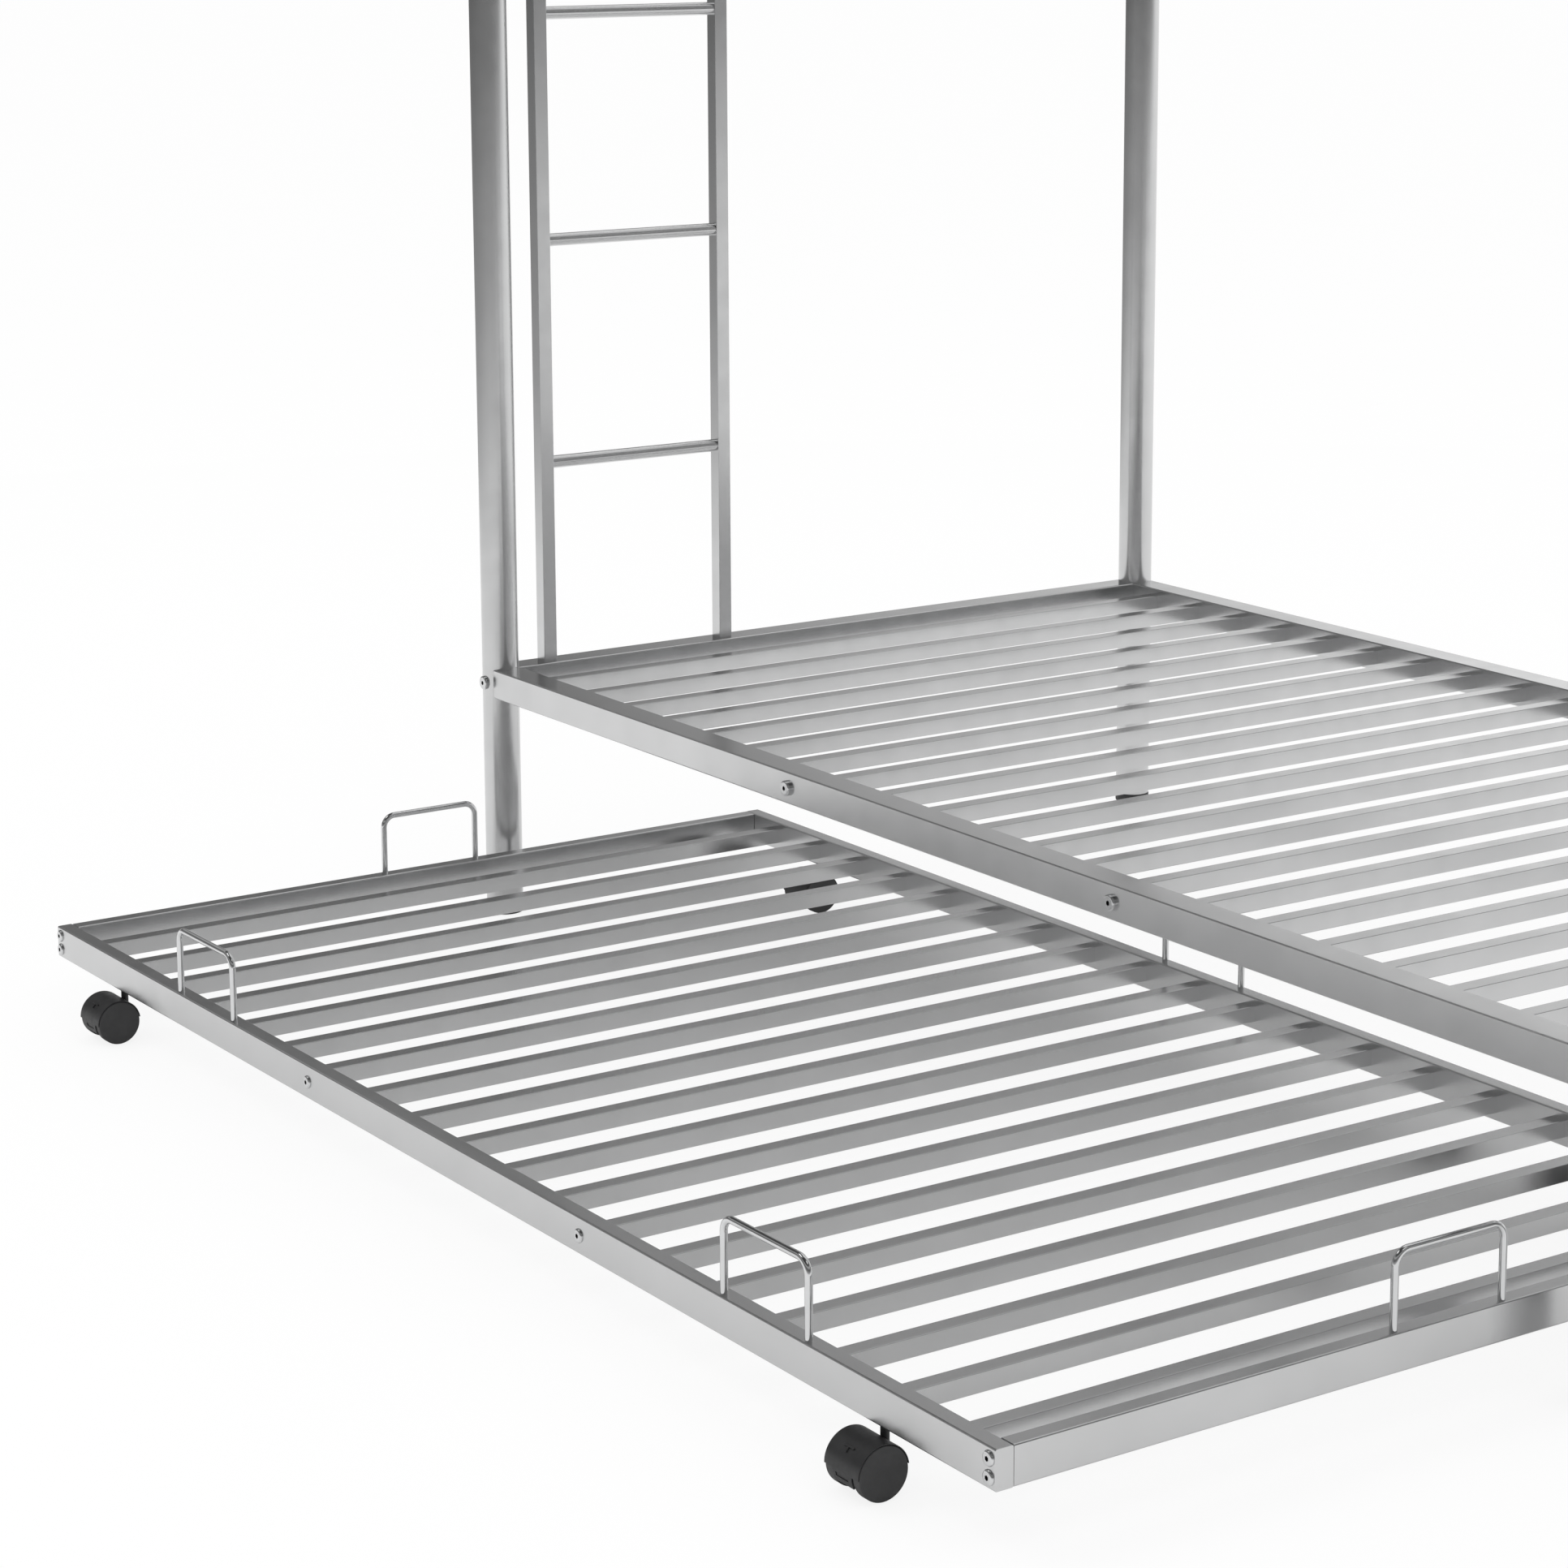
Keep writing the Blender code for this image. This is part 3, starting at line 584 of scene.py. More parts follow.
for side in ("front", "back", "left", "right"):
    node = side + "_rail" + ("_with_slats" if side == "back" else "")
    rail = finish_piece(deck_rail(side), "lower_" + side + "_tube", BUNK, ["lower_" + node])
    copy_piece(rail, "upper_" + side + "_tube", DECK_RISE, BUNK, ["upper_" + node])
print("deck tubes at heights", [round(height, 4) for height in DECK_MIDDLE.values()])

# %% [markdown]
# ## Slats
# Twenty-one thin square tubes carry a mattress. They are equal and evenly spaced, with half a pitch
# left at each end, so one slat is modelled and an Array modifier repeats it. The row of a deck
# stays one mesh.

# %% Slats of the decks
SLAT_HALF = 0.009
WELD = 0.0005
DECK_SLATS = 21


def slat_row(start_x, end_x, count, start_y, end_y, z):
    """A row of equal slats between two end rails, welded at both ends, and its pitch."""
    pitch = (end_x - start_x) / count
    first_x = start_x + pitch / 2
    slat = square_tube((first_x - SLAT_HALF, start_y - WELD, z - SLAT_HALF),
                       (first_x + SLAT_HALF, end_y + WELD, z + SLAT_HALF), 1)
    row = slat.modifiers.new("row", "ARRAY")
    row.count = count
    row.use_relative_offset = False
    row.use_constant_offset = True
    row.constant_offset_displace = (pitch, 0, 0)
    return apply_modifiers(slat), pitch


slats, deck_pitch = slat_row(LEFT + RAIL_HALF, RIGHT - RAIL_HALF, DECK_SLATS, FRONT + RAIL_HALF,
                             BACK - RAIL_HALF, DECK_MIDDLE["lower"])
finish_piece(slats, "lower_slats", BUNK, ["lower_back_rail_with_slats"])
copy_piece(slats, "upper_slats", DECK_RISE, BUNK, ["upper_back_rail_with_slats"])
print("deck slats every", round(deck_pitch * 1000, 2), "mm")

# %% [markdown]
# ## Ladder
# Two thin square tubes stand on the lower end rail and reach the upper one. The rungs are round
# bars with a shouldered end: a thinner spigot goes into the stile and the shoulder is welded to its
# face. The shoulder comes from insetting the end faces of a cylinder and pulling them outwards.

# %% Ladder stiles and rungs
STILE_HALF = 0.009
RUNG_RADIUS = 0.00775
RUNG_SIDES = 40
RUNG_SHOULDER = 0.0015
RUNG_SPIGOT = 0.004
WELD_UP = Vector((0, 0, WELD))

stile_low, stile_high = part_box("ladder_stile_front")
stile = square_tube(stile_low - WELD_UP, stile_high + WELD_UP, 2)
finish_piece(stile, "ladder_tube_front", BUNK, ["ladder_stile_front"])
stile_step = middle("ladder_stile_back") - middle("ladder_stile_front")
copy_piece(stile, "ladder_tube_back", stile_step, BUNK, ["ladder_stile_back"])

rung_at = middle("ladder_rung_1")
rung_length = stile_step.y - 2 * STILE_HALF
rung = cylinder(RUNG_RADIUS, rung_length, rung_at, RUNG_SIDES, axis=1)
open_up(rung)
for way in (-1, 1):
    choose(rung, "FACE", lambda face: face.normal.y * way > FACING)
    bpy.ops.mesh.inset(thickness=RUNG_SHOULDER)
    pull((0, way * RUNG_SPIGOT, 0))
close_up()
finish_piece(rung, "rung_1", BUNK, ["ladder_rung_1"])
for number in ("2", "3"):
    step = middle("ladder_rung_" + number) - rung_at
    copy_piece(rung, "rung_" + number, step, BUNK, ["ladder_rung_" + number])
print("rungs", round(rung_length * 1000, 1), "mm long")

# %% [markdown]
# ## Guard rails
# The upper deck has a guard on each side, outside the picture: a top tube, two bars and short
# uprights. The long ones are grilles of straight round tube. At the ladder end the top tube bends
# down and leaves room to climb in; that bend is an extruded circle, carried round a quarter turn
# with Spin.

# %% Straight guards
GUARD_TUBE = 0.0125
GUARD_BAR = 0.008
GUARD_UPRIGHT = 0.0095
BAR_SIDES = 32
WELD_RING = 0.25
INTO_ROUND_POST = 0.017
GUARD_RISE = 0.2475
DECK_TOP = DECK_MIDDLE["upper"] + RAIL_HALF
GUARD_TOP = DECK_TOP + GUARD_RISE
BAR_HEIGHTS = [DECK_TOP + GUARD_RISE * share for share in (1 / 3, 2 / 3)]
LONG_UPRIGHTS, END_UPRIGHTS = 5, 2


def round_bar(start, end, radius, axis):
    """A round bar along an axis between two points, with a ring on each end for the weld."""
    start, end = Vector(start), Vector(end)
    bar = cylinder(radius, (end - start).length, (start + end) / 2, BAR_SIDES, axis)
    open_up(bar)
    choose(bar, "FACE", lambda face: abs(face.normal[axis]) > FACING)
    bpy.ops.mesh.inset(thickness=radius * WELD_RING)
    close_up()
    return bar


def straight_guard(start, end, axis, uprights):
    """A guard between two posts, along X or Y."""
    start, end = Vector(start), Vector(end)
    into = (end - start).normalized() * INTO_ROUND_POST
    runs = [(GUARD_TOP, GUARD_TUBE)] + [(height, GUARD_BAR) for height in BAR_HEIGHTS]
    bars = [round_bar((*(start + into), z), (*(end - into), z), radius, axis)
            for z, radius in runs]
    for index in range(uprights):
        x, y = start + (end - start) * (index + 0.5) / uprights
        bars.append(round_bar((x, y, DECK_TOP - WELD), (x, y, GUARD_TOP), GUARD_UPRIGHT, 2))
    return put_together(bars)


long_guard = straight_guard((LEFT, FRONT), (RIGHT, FRONT), 0, LONG_UPRIGHTS)
finish_piece(long_guard, "guard_grille_front", BUNK, ["guard_front"])
copy_piece(long_guard, "guard_grille_back", (0, BACK - FRONT, 0), BUNK, ["guard_back"])
end_guard = straight_guard((RIGHT, FRONT), (RIGHT, BACK), 1, END_UPRIGHTS)
finish_piece(end_guard, "guard_grille_right", BUNK, ["guard_right"])
print("guards rise", round(GUARD_RISE * 1000, 1), "mm over the deck")

# %% [markdown]
# ## Bending round stock
# A bent tube is drawn as the bender makes it: a straight run, a quarter turn, a straight run. The
# circle that is its section is extruded along the run, and Spin carries it round the bend's centre.

# %% Bending helper
def start_stock(place, turn, radius, sides):
    """A filled circle, the section of a tube or wire, open in edit mode with its face selected."""
    empty_hands()
    bpy.ops.mesh.primitive_circle_add(vertices=sides, radius=radius, fill_type="NGON",
                                      location=place, rotation=turn)
    stock = settle(bpy.context.object)
    open_up(stock)
    bpy.ops.mesh.select_mode(type="FACE")
    choose_all()
    return stock


def bend(centre, axis, steps):
    """Carry the section a quarter turn round a centre."""
    bpy.ops.mesh.spin(steps=steps, angle=-math.pi / 2, center=centre, axis=axis)


def merge_doubles():
    """In edit mode, merge the points that lie on each other."""
    choose_all()
    bpy.ops.mesh.remove_doubles(threshold=SAME_PLACE)


print("bending tools ready")

# %% Guard at the ladder
CLIMB_GAP = 0.400
GUARD_BEND = 0.060
GUARD_BEND_STEPS = 16
BENT_SIDES = 40

gap_edge = FRONT + CLIMB_GAP
start_y = BACK - INTO_ROUND_POST
guard = start_stock((LEFT, start_y, GUARD_TOP), AXIS_TURNS[1], GUARD_TUBE, BENT_SIDES)
pull((0, gap_edge + GUARD_BEND - start_y, 0))
bend((LEFT, gap_edge + GUARD_BEND, GUARD_TOP - GUARD_BEND), (1, 0, 0), GUARD_BEND_STEPS)
pull((0, 0, DECK_TOP - WELD - GUARD_TOP + GUARD_BEND))
merge_doubles()
close_up()
bars = [round_bar((LEFT, gap_edge, z), (LEFT, start_y, z), GUARD_BAR, 1) for z in BAR_HEIGHTS]
finish_piece(put_together([guard, *bars]), "guard_bend_left", BUNK, ["guard_left"])
print("guard at the ladder", in_mm(made[-1]), "mm")

# %% [markdown]
# ## Trundle frame
# The roll-out bed is flat tube on edge. The long rails run past the end rails and are closed flat,
# so a seam shows where the end rail butts against them. Round seats are drilled under the long
# rails for the plastic bushes of the casters.

# %% Trundle rails
SEAT_RADIUS = 0.0064
SEAT_GAP = 0.0003
SEAT_SIDES = 40
DRILL_OVERRUN = 0.004
RAIL_WIDTH = 0.018
TRUNDLE_LOW, TRUNDLE_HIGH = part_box("trundle_front_rail")
TRUNDLE_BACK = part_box("trundle_back_rail_with_slats")[1].y
BUSH_LOW, BUSH_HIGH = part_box("caster_socket_front_left")


def long_rail(low, high, side, node):
    """A closed long rail of the trundle, with the round seats of two bushes drilled from below."""
    rail = square_tube(low, high, 0, RAIL_CORNER, closed_ends=True)
    for corner in (side + "_left", side + "_right"):
        seat = disc(TRUNDLE_LOW.z - DRILL_OVERRUN, BUSH_HIGH.z + SEAT_GAP, SEAT_RADIUS, SEAT_SIDES)
        seat.location = (CASTER_AT[corner].x, CASTER_AT[corner].y, 0)
        cut_or_join(rail, "DIFFERENCE", settle(seat))
    return finish_piece(rail, "trundle_" + side + "_tube", TRUNDLE, [node])


long_rail(TRUNDLE_LOW, TRUNDLE_HIGH, "front", "trundle_front_rail")
long_rail((TRUNDLE_LOW.x, TRUNDLE_BACK - RAIL_WIDTH, TRUNDLE_LOW.z),
          (TRUNDLE_HIGH.x, TRUNDLE_BACK, TRUNDLE_HIGH.z), "back", "trundle_back_rail_with_slats")
print("trundle", round(TRUNDLE_HIGH.x - TRUNDLE_LOW.x, 4), "m long")

# %% Trundle ends and slats
TRUNDLE_SLATS = 19
TRUNDLE_MIDDLE = (TRUNDLE_LOW.z + TRUNDLE_HIGH.z) / 2
SEAM = Vector((0, 0.0001, 0))

for side in ("left", "right"):
    node = "trundle_" + side + "_rail"
    low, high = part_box(node)
    end_rail = square_tube(low - SEAM, high + SEAM, 1, RAIL_CORNER, closed_ends=True)
    finish_piece(end_rail, "trundle_" + side + "_tube", TRUNDLE, [node])
slats, trundle_pitch = slat_row(TRUNDLE_LOW.x + RAIL_WIDTH, TRUNDLE_HIGH.x - RAIL_WIDTH,
                                TRUNDLE_SLATS, TRUNDLE_HIGH.y, TRUNDLE_BACK - RAIL_WIDTH,
                                TRUNDLE_MIDDLE)
finish_piece(slats, "trundle_slats", TRUNDLE, ["trundle_back_rail_with_slats"])
print("trundle slats every", round(trundle_pitch * 1000, 2), "mm")

# %% [markdown]
# ## Mattress hoops
# Five low hoops of bright wire keep the mattress from sliding off. Each one is a single wire with
# two small-radius bends, welded to the top of a rail. One is bent for the long sides and one, a
# little narrower, for the ends.

# %% Hoops
WIRE_RADIUS = 0.0035
WIRE_SIDES = 24
HOOP_BEND = 0.014
HOOP_STEPS = 16
HOOP_FOOT = TRUNDLE_HIGH.z - WELD


def bend_hoop(node):
    """A hoop in the X-Z plane, bent to the size of a CAD hoop, about the Z axis."""
    low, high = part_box(node)
    half = max(high.x - low.x, high.y - low.y) / 2 - WIRE_RADIUS
    bend_z = high.z - WIRE_RADIUS - HOOP_BEND
    hoop = start_stock((-half, 0, HOOP_FOOT), (0, 0, 0), WIRE_RADIUS, WIRE_SIDES)
    pull((0, 0, bend_z - HOOP_FOOT))
    bend((HOOP_BEND - half, 0, bend_z), (0, 1, 0), HOOP_STEPS)
    pull((2 * (half - HOOP_BEND), 0, 0))
    bend((half - HOOP_BEND, 0, bend_z), (0, 1, 0), HOOP_STEPS)
    pull((0, 0, HOOP_FOOT - bend_z))
    merge_doubles()
    close_up()
    return hoop


def stand_hoops(label, turn, others):
    """Bend a hoop and stand it where its CAD node is, and copies where the other nodes are."""
    node = "mattress_hoop_" + label
    place = middle(node)
    hoop = bend_hoop(node)
    hoop.location = (place.x, place.y, 0)
    hoop.rotation_euler = (0, 0, turn)
    finish_piece(hoop, "hoop_" + label, TRUNDLE, [node], HOOP_WIRE)
    for other in others:
        node = "mattress_hoop_" + other
        step = middle(node) - place
        copy_piece(hoop, "hoop_" + other, (step.x, step.y, 0), TRUNDLE, [node])
    return hoop


side_hoop = stand_hoops("front_left", 0, ("front_right", "back"))
stand_hoops("left_end", math.pi / 2, ("right_end",))
print("hoop", in_mm(side_hoop), "mm")

# %% [markdown]
# ## Button-head bolts
# Bright zinc bolts hold the frames together: a round head with a flat face, a rounded shoulder and
# a hexagon socket, its faces painted near black as painted shade in the recess. A bolt is drawn
# with its axis up: a disc whose upper rim is bevelled round, and a socket cut with a six-sided bar.
# The trundle has low domed heads and the bunk larger and taller ones. Copies are turned and joined
# to one mesh for each frame.

# %% One bolt
BOLT_ROOT = -0.0015
BOLT_SIDES = 48
KEY_DEPTH = 0.0018
KEY_SIDES = 6
UNDER_FACE = 0.0001
# Radius, height, shoulder and radius of the key socket
BOLT_SIZES = {"trundle": (0.0068, 0.0023, 0.0022, 0.0024),
              "bunk_rail": (0.0085, 0.0048, 0.0020, 0.0028),
              "bunk_post": (0.0085, 0.0036, 0.0020, 0.0028)}


def make_bolt(radius, top, shoulder, key_radius):
    """A bolt head about the origin, its seat on the X-Y plane and its axis up."""
    head = disc(BOLT_ROOT, top, radius, BOLT_SIDES)
    open_up(head)
    soften(head, rim_at(top, radius), shoulder, segments=6)
    close_up()
    cut_or_join(head, "DIFFERENCE", disc(top - KEY_DEPTH, top + KEY_DEPTH, key_radius, KEY_SIDES))
    head.data.materials.clear()
    head.data.materials.append(ZINC)
    head.data.materials.append(SOCKET_SHADE)

    def in_socket(face):
        place = face.calc_center_median()
        return place.xy.length < key_radius and BOLT_ROOT < place.z < top - UNDER_FACE

    # The socket's faces take the near-black finish: painted shade in the recess.
    open_up(head)
    choose(head, "FACE", in_socket)
    head.active_material_index = 1
    bpy.ops.object.material_slot_assign()
    close_up()
    return head


bolts = {kind: make_bolt(*sizes) for kind, sizes in BOLT_SIZES.items()}
print("bolt heads", [round(bolt.dimensions.x * 1000, 2) for bolt in bolts.values()], "mm wide")

# %% Where the bolts sit
FACE_FRONT = Matrix.Rotation(math.pi / 2, 4, "X")
FACE_BACK = Matrix.Rotation(-math.pi / 2, 4, "X")
RAIL_BOLTS = (0.35, 0.65)
CORNER_INSET = 0.0085
CORNER_RISE = 0.008


def bolt_row(name, body, places):
    """Copies of the bolts at places that name a kind, a point and a turn, joined to one mesh."""
    copies = [twin_of(bolts[kind], Matrix.Translation(point) @ turn)
              for kind, point, turn in places]
    finish_piece(put_together(copies), name, body, (), ZINC)
    print(name, "holds", len(places))


places = []
for z in DECK_MIDDLE.values():
    for share in RAIL_BOLTS:
        x = LEFT + (RIGHT - LEFT) * share
        places += [("bunk_rail", (x, FRONT - RAIL_HALF, z), FACE_FRONT),
                   ("bunk_rail", (x, BACK + RAIL_HALF, z), FACE_BACK)]
    places += [("bunk_post", (x, FRONT - POST_RADIUS, z), FACE_FRONT) for x in (LEFT, RIGHT)]
bolt_row("bunk_bolts", BUNK, places)
places = []
for y, turn in ((TRUNDLE_LOW.y, FACE_FRONT), (TRUNDLE_BACK, FACE_BACK)):
    for share in RAIL_BOLTS:
        x = TRUNDLE_LOW.x + (TRUNDLE_HIGH.x - TRUNDLE_LOW.x) * share
        places.append(("trundle", (x, y, TRUNDLE_MIDDLE), turn))
    for x in (TRUNDLE_LOW.x + CORNER_INSET, TRUNDLE_HIGH.x - CORNER_INSET):
        places += [("trundle", (x, y, TRUNDLE_MIDDLE + rise), turn)
                   for rise in (-CORNER_RISE, CORNER_RISE)]
bolt_row("trundle_bolts", TRUNDLE, places)
for bolt in bolts.values():
    bpy.data.objects.remove(bolt)

# %% [markdown]
# ## Caster bushes
# A plastic bush in the rail grips each caster's stem. It is a short thick tube, made like a post.

# %% Bushes
BUSH_WALL = 0.0018
BUSH_RADIUS = 0.0061

bush = round_tube(BUSH_LOW.z, BUSH_HIGH.z, BUSH_RADIUS, BUSH_WALL, SEAT_SIDES)
at_corners(bush, "bush_", CASTER_AT, TRUNDLE, "caster_socket_", BUSH_GREY)
print("bushes", round((BUSH_HIGH.z - BUSH_LOW.z) * 1000, 1), "mm long")

# %% [markdown]
# ## Caster hood
# The hood is one black moulding: a thin arch over both wheels, a solid core between them, and the
# stem on top. The arch is a flat strip that Spin carries round the axle. The core starts as a disc,
# and its upper part is pulled outwards to fill the arch. Angles are counted from the back, over the
# top.

# %% Hood arch
AXLE_AT = middle("caster_axle_front_left")
ARCH_INSIDE = 0.0244
ARCH_OUTSIDE = 0.0254
ARCH_MIDDLE = (ARCH_INSIDE + ARCH_OUTSIDE) / 2
ARCH_STEPS = 56
HOOD_HALF = 0.0242
LIP_EDGE = 0.0003
ARCH_FROM, ARCH_TO = math.radians(8), math.radians(181)


def round_axle(radius, angle):
    """A point round the axle, in the Y-Z plane, about the origin."""
    return Vector((0, radius * math.cos(angle), radius * math.sin(angle)))


def make_arch():
    """The thin shell over both wheels, its lips softly rounded."""
    empty_hands()
    bpy.ops.mesh.primitive_plane_add(size=1, location=round_axle(ARCH_MIDDLE, ARCH_FROM),
                                     rotation=(ARCH_FROM, 0, 0))
    strip = bpy.context.object
    strip.scale = (2 * HOOD_HALF, ARCH_OUTSIDE - ARCH_INSIDE, 1)
    open_up(settle(strip))
    choose_all()
    bpy.ops.mesh.spin(steps=ARCH_STEPS, angle=ARCH_FROM - ARCH_TO, center=(0, 0, 0),
                      axis=(1, 0, 0))
    merge_doubles()
    face_outwards()
    soften(strip, is_rim, LIP_EDGE)
    close_up()
    return strip


arch = make_arch()
print("arch", in_mm(arch), "mm")

# %% Hood core
CORE_HALF = 0.0140
CORE_RADIUS = 0.0205
CORE_SIDES = 90
CORE_EDGE = 0.0004
CORE_FROM, CORE_TO = math.radians(4), math.radians(208)


def under_arch(face):
    """A test for the faces round the core that the arch covers."""
    place = face.calc_center_median()
    angle = math.atan2(place.z, place.y) % math.tau
    return abs(face.normal.x) < 1 - FACING and CORE_FROM < angle < CORE_TO


def make_core():
    """The block between the wheels: a disc whose upper part is pulled out to fill the arch."""
    core = cylinder(CORE_RADIUS, 2 * CORE_HALF, sides=CORE_SIDES, axis=0)
    open_up(core)
    choose(core, "FACE", under_arch)
    bpy.ops.mesh.extrude_region_move()
    size = ARCH_MIDDLE / CORE_RADIUS
    bpy.ops.transform.resize(value=(1, size, size), center_override=(0, 0, 0))
    soften(core, is_rim, CORE_EDGE)
    close_up()
    return core


core = make_core()
print("core", in_mm(core), "mm")

# %% [markdown]
# ## Details of the hood
# A small raised T marks the hood's front, and a shallow slot lies below its lip. The T starts as a
# square whose sides are pulled out to the arms and the leg. The slot is cut with a box.

# %% Raised T and slot
T_ANGLE = math.radians(136)
T_WIDTH, T_LENGTH, T_STROKE = 0.0140, 0.0062, 0.0016
T_RISE, T_ROOT = 0.0012, 0.0005
SLOT_ANGLE = math.radians(191)
SLOT_SIZE = (0.0180, 0.0024, 0.0036)


def make_t():
    """The raised T, drawn flat with its head towards +Y, then turned onto the arch."""
    head = (T_LENGTH - T_STROKE) / 2
    empty_hands()
    bpy.ops.mesh.primitive_plane_add(size=T_STROKE, location=(0, head, 0))
    letter = settle(bpy.context.object)
    open_up(letter)
    for way in (-1, 1):
        choose(letter, "EDGE", lambda edge: all(
            abs(corner.co.x - way * T_STROKE / 2) < SAME_PLACE for corner in edge.verts))
        pull((way * (T_WIDTH - T_STROKE) / 2, 0, 0))
    choose(letter, "EDGE", lambda edge: all(
        corner.co.y < head and abs(corner.co.x) < T_STROKE for corner in edge.verts))
    pull((0, T_STROKE - T_LENGTH, 0))
    bpy.ops.mesh.select_mode(type="FACE")
    choose_all()
    pull((0, 0, T_RISE + T_ROOT))
    face_outwards()
    soften(letter, lambda edge: is_rim(edge) and all(
        corner.co.z > T_RISE for corner in edge.verts), LIP_EDGE)
    close_up()
    letter.rotation_euler = (T_ANGLE - math.pi / 2, 0, 0)
    letter.location = round_axle(ARCH_OUTSIDE - T_ROOT, T_ANGLE)
    return settle(letter)


raised_t = make_t()
empty_hands()
bpy.ops.mesh.primitive_cube_add(size=1, location=round_axle(ARCH_OUTSIDE, SLOT_ANGLE),
                                rotation=(SLOT_ANGLE, 0, 0), scale=SLOT_SIZE)
slot_cutter = settle(bpy.context.object)
print("raised T", in_mm(raised_t), "mm")

# %% Whole hood with its stem
STEM_RADIUS = 0.0039
STEM_EDGE = 0.0008
STEM_SIDES = 32
AXLE_HOLE_RADIUS = 0.0033
CASTER_TRAIL = CASTER_AT["front_left"].y - AXLE_AT.y

stem_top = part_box("caster_hood_front_left")[1].z - AXLE_AT.z
stem = disc(CORE_RADIUS / 2, stem_top, STEM_RADIUS, STEM_SIDES)
open_up(stem)
soften(stem, lambda edge: is_rim(edge) and edge.verts[0].co.z > CORE_RADIUS, STEM_EDGE,
       segments=3)
close_up()
stem.location = (0, CASTER_TRAIL, 0)
settle(stem)
axle_hole = cylinder(AXLE_HOLE_RADIUS, 4 * CORE_HALF, sides=STEM_SIDES, axis=0)
hood = arch
for operation, tool in (("UNION", core), ("UNION", stem), ("UNION", raised_t),
                        ("DIFFERENCE", slot_cutter), ("DIFFERENCE", axle_hole)):
    cut_or_join(hood, operation, tool)
hood.location = AXLE_AT
finish_piece(hood, "caster_shell_front_left", "caster_front_left", ["caster_hood_front_left"],
             HOOD_BLACK)
for corner, step in other_corners(CASTER_AT):
    copy_piece(hood, "caster_shell_" + corner, step, "caster_" + corner,
               ["caster_hood_" + corner])
print("hood", len(hood.data.polygons), "faces, stem trails", round(CASTER_TRAIL * 1000, 1), "mm")

# %% [markdown]
# ## Wheels
# Each wheel is a plain black disc. Its flat outer face stands a little proud of the hood, and its
# rounded shoulder leaves the dark line that the photo shows between hood and wheel. A blind bore on
# the inner side takes the axle.

# %% Wheels
WHEEL_RADIUS = 0.024
WHEEL_SIDES = 72
SHOULDER = 0.0011
BORE_RADIUS = 0.0034
BORE_DEPTH = 0.0063
SMALLEST_FLAT = 0.0001
OTHER_SIDE = {"outer": "inner", "inner": "outer"}


def make_wheel(node, way):
    """A wheel as wide as its CAD node, its outer face towards way along X."""
    low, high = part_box(node)
    place = ((low.x + high.x) / 2, AXLE_AT.y, AXLE_AT.z)
    wheel = cylinder(WHEEL_RADIUS, high.x - low.x, place, WHEEL_SIDES, axis=0)
    open_up(wheel)
    soften(wheel, is_rim, SHOULDER, segments=4)
    choose(wheel, "FACE", lambda face: face.normal.x * way < -FACING
           and face.calc_area() > SMALLEST_FLAT)
    bpy.ops.mesh.inset(thickness=WHEEL_RADIUS - SHOULDER - BORE_RADIUS)
    pull((way * BORE_DEPTH, 0, 0))
    close_up()
    return wheel


for side, way in (("outer", -1), ("inner", 1)):
    name = "wheel_front_left_" + side
    wheel = finish_piece(make_wheel("caster_" + name, way), name, name, ["caster_" + name],
                         WHEEL_BLACK)
    for corner, step in other_corners(CASTER_AT):
        name = "wheel_" + corner + "_" + (side if "left" in corner else OTHER_SIDE[side])
        copy_piece(wheel, name, step, name, ["caster_" + name])
print("wheels", len([piece for piece in made if piece.name.startswith("wheel")]))

# %% Axles
for corner in CORNERS:
    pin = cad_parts["caster_axle_" + corner]
    pin.data.materials.clear()
    pin.data.materials.append(AXLE_STEEL)
print("axles keep their CAD solids and get", AXLE_STEEL.name)

# %% [markdown]
# ## Studio
# The photo's background is clean white. The floor is near white and keeps a soft shadow under the
# bed; part of what the camera sees of it is plain white, so that the shadow stays faint. Satin
# metal mirrors its surroundings, and the photo shows a floor that dims away from the bed and a band
# of greys above it. A curtain round the set stands for them. It holds one bright window, and a dark
# ceiling with a bright part at the back closes it. All this is seen only in reflections.

# %% Soft sky
SKY_LEVEL = 0.95
WHITE = (1, 1, 1, 1)


def combine(tree, operation, first, second, clamp=False):
    """The sum, product or other result of two values."""
    return add_node(tree, "Math", {0: first, 1: second}, operation=operation, use_clamp=clamp)[0]


def seen_directly(tree):
    """Two values: 1 for camera, glossy and transmission rays, and 1 for glossy rays alone."""
    path = add_node(tree, "LightPath")
    total = path["Is Camera Ray"]
    for name in ("Is Glossy Ray", "Is Transmission Ray"):
        total = combine(tree, "ADD", total, path[name], clamp=True)
    return total, path["Is Glossy Ray"]


def show(tree, output, share, first, second):
    """Mix two shaders by a share and show the result."""
    mix = add_node(tree, "MixShader", {0: share, 1: first, 2: second})
    feed(tree, tree.nodes[output].inputs["Surface"], mix[0])


world = bpy.data.worlds.new("studio")
bpy.context.scene.world = world
world.use_nodes = True
sky = world.node_tree
soft = sky.nodes["Background"]
feed(sky, soft.inputs["Strength"], SKY_LEVEL)
feed(sky, soft.inputs["Color"], WHITE)
white = add_node(sky, "Background", {"Color": WHITE})
show(sky, "World Output", seen_directly(sky)[0], soft.outputs[0], white[0])
print("soft sky at", SKY_LEVEL)

